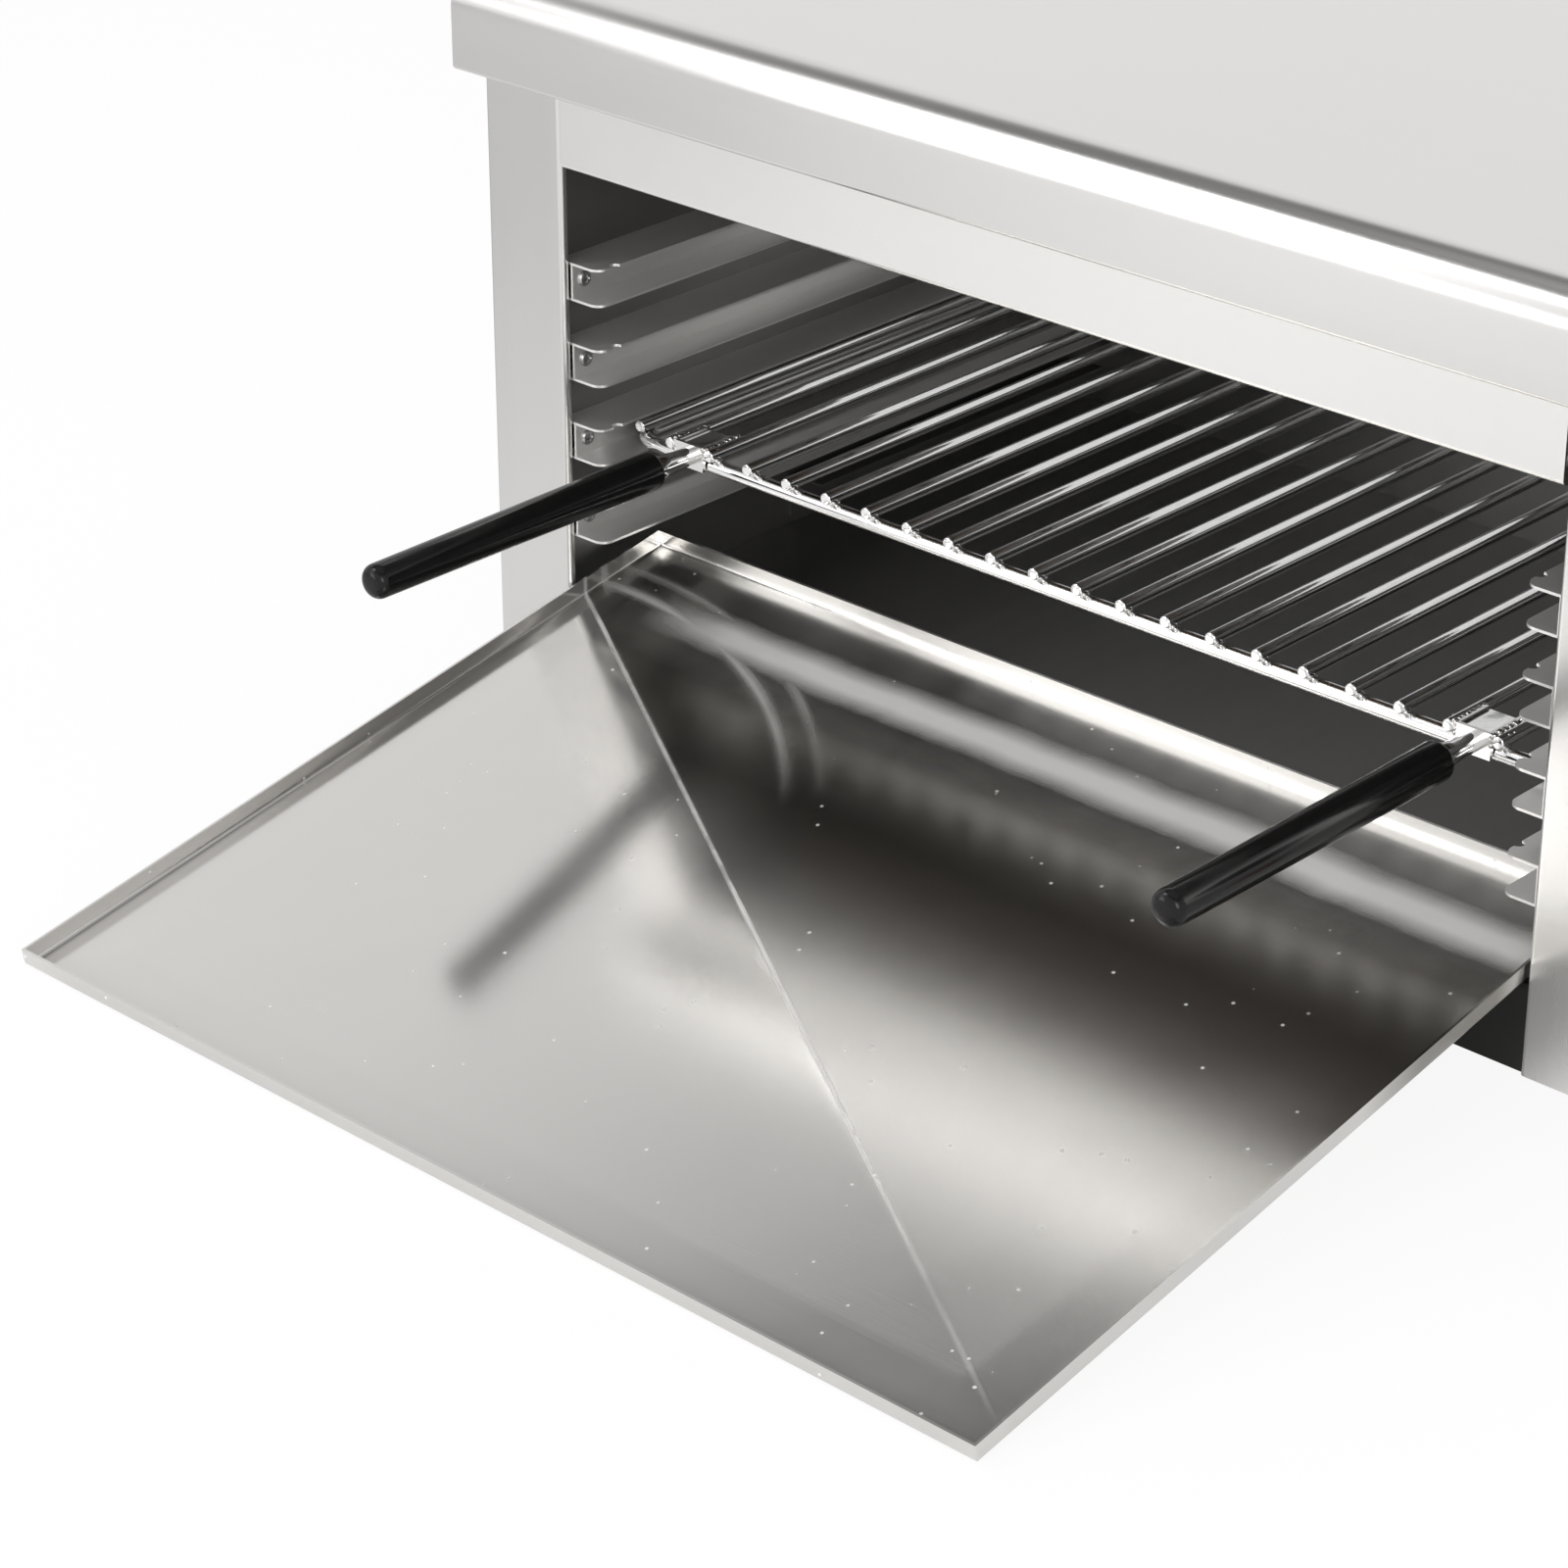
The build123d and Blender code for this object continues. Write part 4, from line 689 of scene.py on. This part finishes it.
rods = []
for index, x in enumerate(rod_x):
    back = OUTER_ROD_BACK if index in (0, RODS - 1) else 0.0
    length = Y_RACK_END + FRAME_R + ROD_OVER - Y_ROD - 2 * back
    rods.append((turned(*cut_rod(length), (x, Y_ROD + back, Z_RODS), "-y", 28), True))
make_piece("rack_rods_wire", rods, rack_chrome, "rack", ["rack_rods"])


def wire_loop(x_from, x_to, y_from, y_to, corner, steps=14):
    """Centre line of a rounded rectangle and its outward direction at each point, once round."""
    centres = [(x_to - corner, y_from + corner, -90), (x_to - corner, y_to - corner, 0),
               (x_from + corner, y_to - corner, 90), (x_from + corner, y_from + corner, 180)]
    line = np.concatenate([round_corner(c[:2], corner, c[2], c[2] + 90, steps) for c in centres])
    out = np.concatenate([round_corner((0, 0), 1.0, c[2], c[2] + 90, steps) for c in centres])
    return line, out


def wire(line, out, height, radius, sides=28):
    """A wire along a level line: a circle spanned by the line's outward direction and the upright."""
    angle = np.linspace(0, 2 * np.pi, sides, endpoint=False)
    flat = line[:, None] + radius * np.cos(angle)[None, :, None] * out[:, None]
    rise = np.broadcast_to(height + radius * np.sin(angle), flat.shape[:2])
    return np.concatenate([flat, rise[..., None]], -1)


loop = wire_loop(X_MID - RACK_HALF, X_MID + RACK_HALF, Y_RACK, Y_RACK_END, FRAME_CORNER)
loop = wire(*loop, Z_FRAME, FRAME_R)
make_piece("rack_frame_wire", [(np.concatenate([loop, loop[:1]]), True)], rack_chrome, "rack",
           ["rack_frame"])

# %% [markdown]
# ## Welds
# Each crossing is resistance welded, which leaves a small squeezed nugget in the joint. The handle
# brackets are welded by hand, with lumpy beads along the rods and a few drops of spatter. Spheres
# would look like peas, so each lump is an ellipsoid whose radius ripples with its two angles.

# %% Weld lumps
def lumps(centres, sizes, seed, rows=9, columns=14):
    """Ellipsoids with rippled radii: unit directions times a size and sines of the two angles."""
    dice = np.random.default_rng(seed)
    down, spin = np.linspace(0, np.pi, rows), np.linspace(0, 2 * np.pi, columns, endpoint=False)
    down, spin = np.meshgrid(down, spin, indexing="ij")
    way = np.stack([np.sin(down) * np.cos(spin), np.sin(down) * np.sin(spin), np.cos(down)], -1)
    phase = dice.uniform(0, 6.28, (3, len(centres), 1, 1))
    ripple = 1 + 0.10 * np.sin(2 * spin + phase[0]) * np.sin(down)
    ripple = ripple + 0.08 * np.sin(3 * spin + 2 * down + phase[1]) * np.sin(down)
    return np.asarray(centres)[:, None, None] + np.asarray(sizes)[:, None, None] * way * ripple[..., None]


crossing = np.stack(np.meshgrid(rod_x[1:-1], (Y_RACK, Y_RACK_END)), -1).reshape(-1, 2)
nuggets = np.insert(crossing, 2, Z_FRAME + FRAME_R, 1)
nugget_size = np.tile((2.1, 2.4, 1.0), (len(nuggets), 1))
make_piece("rack_weld_nuggets", [(lumps(nuggets, nugget_size, 3), True)], weld_metal, "rack")

HANDLE_X = (-221.71, 141.71)
ROD_PITCH = 2 * ROD_HALF / (RODS - 1)
BEAD_SEEDS = (11, 29)


def bracket_beads(x, seed):
    """Beads where a bracket meets its two rods, on top and in front, and drops scattered on the rods."""
    dice = np.random.default_rng(seed)
    top = [(x + side * (ROD_PITCH / 2 - ROD_R + 0.5), Y_ROD + a + dice.normal(0, 0.5),
            Z_RODS + 1.9 + dice.normal(0, 0.25))
           for side in (-1, 1) for a in np.linspace(2.0, 18.5, 8)]
    front = [(x + side * (ROD_PITCH / 2 - ROD_R - 0.2), Y_ROD + 0.7, Z_RODS + rise)
             for side in (-1, 1) for rise in (-1.8, 0.0, 1.7)]
    drops = [(x + side * ROD_PITCH / 2 + 1.6 * dice.uniform(-1, 1), Y_ROD + a, Z_RODS + 2.0)
             for side in (-1, 1) for a in dice.uniform(4, 24, 7)]
    size = np.concatenate([dice.uniform(1.1, 1.7, (len(top), 1)) * (1.0, 1.15, 0.8),
                           dice.uniform(1.0, 1.3, (len(front), 1)) * (1.0, 0.8, 1.0),
                           dice.uniform(0.35, 0.75, (len(drops), 1)) * (1, 1, 0.8)])
    return lumps(top + front + drops, size, seed + 1)


beads = [(bracket_beads(x, seed), True) for x, seed in zip(HANDLE_X, BEAD_SEEDS)]
make_piece("bracket_weld_beads", beads, weld_metal, "rack")

# %% [markdown]
# ## Bracket plates
# Between each pair of rods that a bracket joins lies a small plate, which stiffens it. It could be a
# plain box; a pressed plate has rounded edges and a slight dish from the welding heat, and both show
# in its reflections. Its outline is a slab with rounded ends, carried front to back.

# %% Dished plates
PLATE_SIZE = (ROD_PITCH - 2 * ROD_R - 3.4, 16.4, 1.2)
PLATE_BACK, PLATE_RISE, PLATE_DISH = 1.5, 0.9, 0.35


def dished_plate(x, wide, deep, thick):
    """A slab with rounded long edges whose top and bottom dip together by a cosine across both ways."""
    edge = round_corner((wide / 2 - thick / 2, 0), thick / 2, -90, 90, 7)
    flat = np.linspace(-1, 1, 9)[1:-1] * (wide / 2 - thick)
    under, over = [np.stack([flat * way, np.full_like(flat, -way * thick / 2)], -1) for way in (1, -1)]
    ring = np.concatenate([under, edge, over, (edge * (-1, 1))[::-1]])
    run = np.linspace(0, 1, 9)[:, None]
    dip = -PLATE_DISH * np.sin(np.pi * run) * np.cos(np.pi * ring[:, 0] / wide)
    y, z = Y_ROD + PLATE_BACK + deep * run, Z_RODS + PLATE_RISE + ring[:, 1] + dip
    skin = np.stack(np.broadcast_arrays(x + ring[:, 0], y, z), -1)
    return [(skin, True)] + caps(skin)


plates = [grid for x in HANDLE_X for grid in dished_plate(x, *PLATE_SIZE)]
make_piece("bracket_plates", plates, stub_steel, "rack", (), 40)

# %% [markdown]
# ## Handles
# Each handle is a polished stub, slim at the bracket and wider at the grip, with a black moulded grip
# on its tang. The grip has a rounded rim at the back, tapers a little, and ends in a blunt dome. All
# of it is turned work, so profiles of distance and radius say everything.

# %% Stubs and grips
Z_STUB, Y_GRIP, GRIP_LONG = 118.94, -38.02, 144.0
STUB_LONG = Y_ROD - Y_GRIP
TANG_R, TANG_END = 3.6, STUB_LONG + 70
BORE_R, BORE_LONG = 3.7, 70.1
stub_profile = np.array([
    (0, 0), (0, 3.8), (STUB_LONG / 3 - 1, 3.8), (STUB_LONG / 3 + 1, 3.88), (STUB_LONG * 0.66, 4.33),
    (STUB_LONG - 0.3, 4.8), (STUB_LONG, 4.6), (STUB_LONG, TANG_R), (TANG_END, TANG_R), (TANG_END, 0)]).T
swing = np.radians(np.linspace(0, 88, 16))
grip_dome = np.stack([GRIP_LONG - 3.2 + 4.4 * np.sin(swing), 6.7 * np.cos(swing) ** 0.6], -1)
grip_profile = np.concatenate([
    [(0.0, BORE_R)], round_corner((2, 5.3), 2, 180, 90, 9), [(12, 7.3), (60, 7.1), (120, 6.8)],
    grip_dome, [(GRIP_LONG + 1.2, 0)]]).T
grip_bore = np.array([(0.0, BORE_R), (BORE_LONG, BORE_R), (BORE_LONG, 0.0)]).T

for word, x in zip(("left", "right"), HANDLE_X):
    make_piece(f"{word}_stub_turned", [(turned(*stub_profile, (x, Y_ROD, Z_STUB), "y", 48), True)],
               stub_steel, "rack", [f"{word}_handle_stub"], 40)
    shell = [(turned(*profile, (x, Y_GRIP, Z_STUB), "y", 64), True) for profile in (grip_profile, grip_bore)]
    make_piece(f"{word}_grip_moulded", shell, grip_black, "rack", [f"{word}_grip"], 40)

# %% [markdown]
# ## Screws
# The rails, the hood's ends, the back and the control panel are held by small pan-head screws. A
# plain disc reads as a rivet, so each head is a low dome with a cross recess: the height over a polar
# grid, less a dip where the point lies within either bar of the cross.

# %% Pan-head screws
def pan_head(radius, height, shank, axis, at, sides=48):
    """A pan head on a shank: a dome that falls with the square of the radius, less its cross recess."""
    ring = np.array([0.0, 0.12, 0.22, 0.30, 0.38, 0.46, 0.54, 0.62, 0.72, 0.84, 0.93, 1.0])
    angle = np.linspace(0, 2 * np.pi, sides, endpoint=False)
    u, v = ring[:, None] * np.cos(angle), ring[:, None] * np.sin(angle)
    dome = 1 - 0.25 * ring[:, None] ** 2 - 0.30 * np.clip(ring[:, None] - 0.84, 0, 1) / 0.16
    bar = np.minimum(np.abs(u), np.abs(v))
    cross = np.clip((0.17 - bar) / 0.06, 0, 1) * np.clip((0.58 - ring[:, None]) / 0.08, 0, 1)
    d = height * (dome - 0.5 * cross)
    r = radius * np.repeat(ring[:, None], sides, 1)
    tail_d = np.array([0.0, 0.0, -shank, -shank])[:, None] + np.zeros(sides)
    tail_r = np.array([radius, radius * 0.5, radius * 0.5, 0.0])[:, None] + np.zeros(sides)
    return turned(np.concatenate([d, tail_d]), np.concatenate([r, tail_r]), at, axis, sides)


def screws(place, size, seats):
    """The screws of one place as one piece; a seat is the axis that a head faces and its foot."""
    heads = [(pan_head(*size, axis, at), True) for axis, at in seats]
    make_piece(f"{place}_pan_screws", heads, screw_steel, "cabinet", [f"{place}_screws"], 40)


RAIL_SCREW, CASE_SCREW = (3.0, 1.4, 6.0), (3.4, 1.5, 5.0)
RAIL_Z = [low + 7.6 for low in (176.29, 143.89, 111.49, 79.09)]
RAIL_Y, RAIL_WEB = (-32.02, 270.48), 223.3
HOOD_SCREW_Y, HOOD_SCREW_Z = (Y_FRONT + 44, Y_BACK - 44), Z_HOOD + (Z_TOP - Z_HOOD) / 3
CASE_SCREW_Z, BACK_SCREW_X, PANEL_SCREW_X = (39.5, 240.0), (-283.0, 283.0), 299.0

for word, side, axis in (("left", -1, "x"), ("right", 1, "-x")):
    seats = [(axis, (X_MID + side * RAIL_WEB, y, z)) for z in RAIL_Z for y in RAIL_Y]
    screws(f"{word}_rail", RAIL_SCREW, seats)
hood_ends = (("-x", X_LEFT - HOOD_SIDE), ("x", X_RIGHT + HOOD_SIDE))
screws("hood", CASE_SCREW, [(axis, (x, y, HOOD_SCREW_Z)) for axis, x in hood_ends for y in HOOD_SCREW_Y])
screws("back", CASE_SCREW, [("-y", (x, Y_BACK - SHEET, z)) for x in BACK_SCREW_X for z in CASE_SCREW_Z])
screws("panel", CASE_SCREW, [("y", (PANEL_SCREW_X, Y_FRONT, z)) for z in CASE_SCREW_Z])
print("screws at rails, hood, back and panel")

# %% [markdown]
# ## The temperature knob
# A moulded knob: a wide skirt, a fluted grip for wet fingers, and a white pointer let into its face,
# which shows how far it is turned. A smooth drum would look unfinished, and cutting flutes one by one
# is slow. The grip's radius is one profile, less a dip that repeats eighteen times round the circle.

# %% Knob and pointer
X_PANEL = 245.0
KNOB_AT = (X_PANEL, -43.32, 167.5)
FLUTES, FLUTE_R, KNOB_R = 18, 1.5, 16.0


def fluted(rows, at, sides=288):
    """A turned surface with flutes: rows of distance, radius and the share of the dip taken off.

    The dip is the depth of a circle that stands on the rim: the root of its radius squared less the
    squared distance from the flute's middle.
    """
    pitch = 2 * np.pi / FLUTES
    angle = np.linspace(0, 2 * np.pi, sides, endpoint=False)
    off = KNOB_R * (np.mod(angle + pitch / 2, pitch) - pitch / 2)
    dip = np.sqrt(np.clip(FLUTE_R ** 2 - off ** 2, 0, None))
    d, r, share = np.array(rows, float).T
    return turned(np.repeat(d[:, None], sides, 1), r[:, None] - share[:, None] * dip[None], at, "y", sides)


knob_rows = [(0, 0, 0), (0, 20.4, 0), (0.2, 20.8, 0), (0.6, 21, 0), (2.7, 21, 0), (3.4, 20.8, 0),
             (3.85, 20.3, 0), (4, 19.6, 0), (4, 16.5, 0), (4, KNOB_R, 1), (18.8, KNOB_R, 1), (19.5, 15.8, 1),
             (19.9, 15.3, 1), (20, 14.7, 1), (20, 12.6, 0), (19.7, 6, 0), (19.6, 0, 0)]
make_piece("knob_fluted", [(fluted(knob_rows, KNOB_AT), True)], knob_black, "knob",
           ["temperature_knob"], 35)


def radial_bars(at, clockwise, reach, wide, low, high):
    """Bars on a face that point away from a centre: a bevelled rectangle carried outwards, one an angle.

    Angles are in degrees clockwise from the top; low and high are distances out of the face.
    """
    turn = np.radians(np.asarray(clockwise, float))[:, None, None]
    bevel, half = 0.3 * (high - low), wide / 2
    ring = np.array([(-half, low), (-half, high - bevel), (bevel - half, high),
                     (half - bevel, high), (half, high - bevel), (half, low)])
    across, out = ring[None, None, :, 0], ring[None, None, :, 1]
    far = np.asarray(reach, float)[None, :, None]
    x = at[0] + far * np.sin(turn) + across * np.cos(turn)
    z = at[2] + far * np.cos(turn) - across * np.sin(turn)
    skin = np.stack(np.broadcast_arrays(x, at[1] - out, z), -1)
    return [(skin, True)] + caps(skin)


pointer = radial_bars(KNOB_AT, [0.0], (2.0, 15.2), 1.7, 19.2, 20.15)
make_piece("knob_pointer", pointer, print_white, "knob", (), 40)

# %% [markdown]
# ## The dial's print
# The dial is printed: a fine line every ten degrees of heat, a bold one and a number every fifty, from
# 0 to 300 over three quarters of a turn. Print has hardly any thickness, so the lines are bars a few
# hundredths high, and each number is set as text, made into a mesh and laid on the plate.

# %% Dial lines and numbers
DIAL_FACE = (X_PANEL, -42.32, KNOB_AT[2])
TURN_A_DEGREE, NUMBER_R, NUMBER_SIZE, NUMBER_HALF = 0.9, 28.9, 3.5, 0.035
PRINT_SUNK, PRINT_PROUD = -0.02, 0.05
heats = np.arange(0, 301, 10)
bold = heats % 50 == 0
dial_lines = []
for chosen, reach, wide in ((~bold, (22.4, 24.4), 0.35), (bold, (22.4, 25.2), 0.70)):
    dial_lines += radial_bars(DIAL_FACE, heats[chosen] * TURN_A_DEGREE, reach, wide, PRINT_SUNK, PRINT_PROUD)
make_piece("dial_lines", dial_lines, print_black, "cabinet", (), 40)


def word_shape(word, size):
    """A word as a thin solid, centred: its points in the text's plane, in millimetres, and its faces."""
    text = bpy.data.curves.new("word", "FONT")
    text.body, text.size, text.extrude = word, size, NUMBER_HALF
    text.align_x, text.align_y = "CENTER", "CENTER"
    holder = bpy.data.objects.new("word", text)
    scene.collection.objects.link(holder)
    mesh = bpy.data.meshes.new_from_object(holder.evaluated_get(bpy.context.evaluated_depsgraph_get()))
    flat = np.empty(3 * len(mesh.vertices))
    mesh.vertices.foreach_get("co", flat)
    faces = [list(face.vertices) for face in mesh.polygons]
    bpy.data.objects.remove(holder)
    bpy.data.curves.remove(text)
    bpy.data.meshes.remove(mesh)
    return flat.reshape(-1, 3), faces


number_points, number_faces, used = [], [], 0
for heat in heats[bold]:
    shape, faces = word_shape(str(heat), NUMBER_SIZE)
    angle = math.radians(heat * TURN_A_DEGREE)
    off = (NUMBER_R * math.sin(angle), PRINT_SUNK, NUMBER_R * math.cos(angle))
    middle = np.array(DIAL_FACE) + off
    number_points.append(middle + shape[:, [0, 2, 1]] * (1, -1, 1))
    number_faces += [[corner + used for corner in face] for face in faces]
    used += len(shape)
build_piece("dial_numbers", np.concatenate(number_points), number_faces, print_black, "cabinet",
            (), 30)

# %% [markdown]
# ## The rocker's marks
# The rocker carries a stroke for on and a ring for off, pressed into its two faces in white. They
# follow the faces' own slope and tip with the rocker, so they are worked out in the rocker's side view
# and turned back with it by half its throw.

# %% Rocker marks
ROCKER_TIP, Z_SWITCH = math.radians(7.0), 95.5
ROCKER_OUT, ROCKER_RISE, ROCKER_HALF = 1.6, 1.4, 11.4


def on_rocker(x, up, proud):
    """Places on the rocker, whose face lies a little out in the middle and rises to each end."""
    out = ROCKER_OUT + ROCKER_RISE * np.abs(up) / ROCKER_HALF + proud
    y = Y_FRONT - (out * math.cos(ROCKER_TIP) - up * math.sin(ROCKER_TIP))
    z = Z_SWITCH + up * math.cos(ROCKER_TIP) + out * math.sin(ROCKER_TIP)
    return np.stack(np.broadcast_arrays(X_PANEL + x, y, z), -1)


edge = np.array([(-1, -0.1), (-1, 0.06), (1, 0.06), (1, -0.1)])
stroke = on_rocker(0.55 * edge[None, :, 0], np.linspace(3.6, 8.8, 9)[:, None], edge[None, :, 1])
spin = np.linspace(0, 2 * np.pi, 49)[:, None]
ring_r = 2.2 + 0.5 * edge[None, :, 0]
ring = on_rocker(ring_r * np.cos(spin), -6.2 + ring_r * np.sin(spin), edge[None, :, 1])
marks = [(stroke, True), *caps(stroke), (ring, True)]
make_piece("rocker_marks", marks, print_white, "rocker", (), 40)

# %% [markdown]
# ## Pilot lamps and feet
# The lamps have domed lenses in thin chromed rings, and the feet are tapered rubber buttons, hollow
# below for their screws. All are turned shapes, so profiles of distance and radius draw them, with
# enough points round the circle that no facets show.

# %% Lenses, rings and feet
LAMP_X, Z_LAMP, LENS_R = {"power": 228.0, "heat": 262.0}, 230.5, 4.6
FEET = [(x, y, 0.0) for x in (-257.0, 257.0) for y in (6.48, 255.48)]
dome = np.linspace(0, np.pi / 2, 12)
lens_dome = np.stack([0.6 + 2.6 * np.sin(dome), LENS_R * np.cos(dome)], -1)
lens_profile = np.concatenate([[(-12, 0), (-12, LENS_R)], lens_dome]).T
ring_profile = np.array([(0, 4.7), (1.35, 4.7), (1.6, 4.95), (1.6, 5.7), (1.45, 6.2), (1.0, 6.5), (0.5, 6.6),
                         (0, 6.6), (0, 4.7)]).T
for word, finish, slot in (("power", lamp_green, "lamp_green"), ("heat", lamp_amber, "lamp_amber")):
    dome_lens = turned(*lens_profile, (LAMP_X[word], Y_FRONT, Z_LAMP), "y", 48)
    make_piece(f"{word}_lamp_lens", [(dome_lens, True)], finish, "cabinet", [f"{word}_lamp"], 40)
rings = [(turned(*ring_profile, (x, Y_FRONT, Z_LAMP), "y", 56), True) for x in LAMP_X.values()]
make_piece("lamp_rings", rings, bezel_chrome, "cabinet", ["lamp_bezels"], 40)

foot_profile = np.array([(8, 0), (8, 6), (0.5, 6), (0, 6.5), (0, 12.7), (0.25, 13.2), (0.8, 13.4), (9, 13.7),
                         (17.5, 14), (17.5, 0)]).T
feet = [(turned(*foot_profile, at, "z", 64), True) for at in FEET]
make_piece("feet_moulded", feet, foot_rubber, "cabinet", ["feet"], 40)

# %% [markdown]
# ## Finishes for the pieces that keep their own shape
# The flat sheets and small fittings are right as they come, so they only need their finishes. Sheets
# take the grain that their maker would have run along them: across the front, upright on the posts
# and sides.

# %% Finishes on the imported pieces
FINISH_OF = {
    casing_side: ["left_side_shell", "right_side_shell"],
    casing_upright: ["control_panel"],
    casing_across: ["front_fascia", "back_panel", "base_panel"],
    casing_deep: ["hood_left_end", "hood_right_end"],
    shade_painted_panel: ["lower_front_panel"],
    cavity_steel: ["cavity_left_liner", "cavity_right_liner", "cavity_back_liner", "cavity_floor",
                   "left_tray_ledge", "right_tray_ledge"],
    reflector_steel: ["cavity_ceiling"],
    rail_steel: [f"{side}_rail_{n}" for side in ("left", "right") for n in (1, 2, 3, 4)],
    bracket_steel: ["left_handle_bracket", "right_handle_bracket"],
    hanger_steel: ["element_hangers", "bulb_clips"],
    element_sheath: ["front_heating_element", "rear_heating_element"],
    insulator_white: ["element_insulators"],
    stat_plastic: ["thermostat_body"],
    bulb_copper: ["thermostat_bulb"],
    dial_print: ["dial_plate"],
    shaft_steel: ["thermostat_shaft"],
    switch_black: ["power_switch_housing"],
    rocker_red: ["power_switch_rocker"],
    block_white: ["terminal_block"],
    lead_silicone: ["internal_leads"],
    gland_black: ["cable_gland"],
    screw_steel: ["foot_screws", "base_front_screws"],
}
for finish, names in FINISH_OF.items():
    for name in names:
        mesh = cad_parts[name].data
        mesh.materials.clear()
        mesh.materials.append(finish)
print(sum(len(names) for names in FINISH_OF.values()), "packed pieces finished")
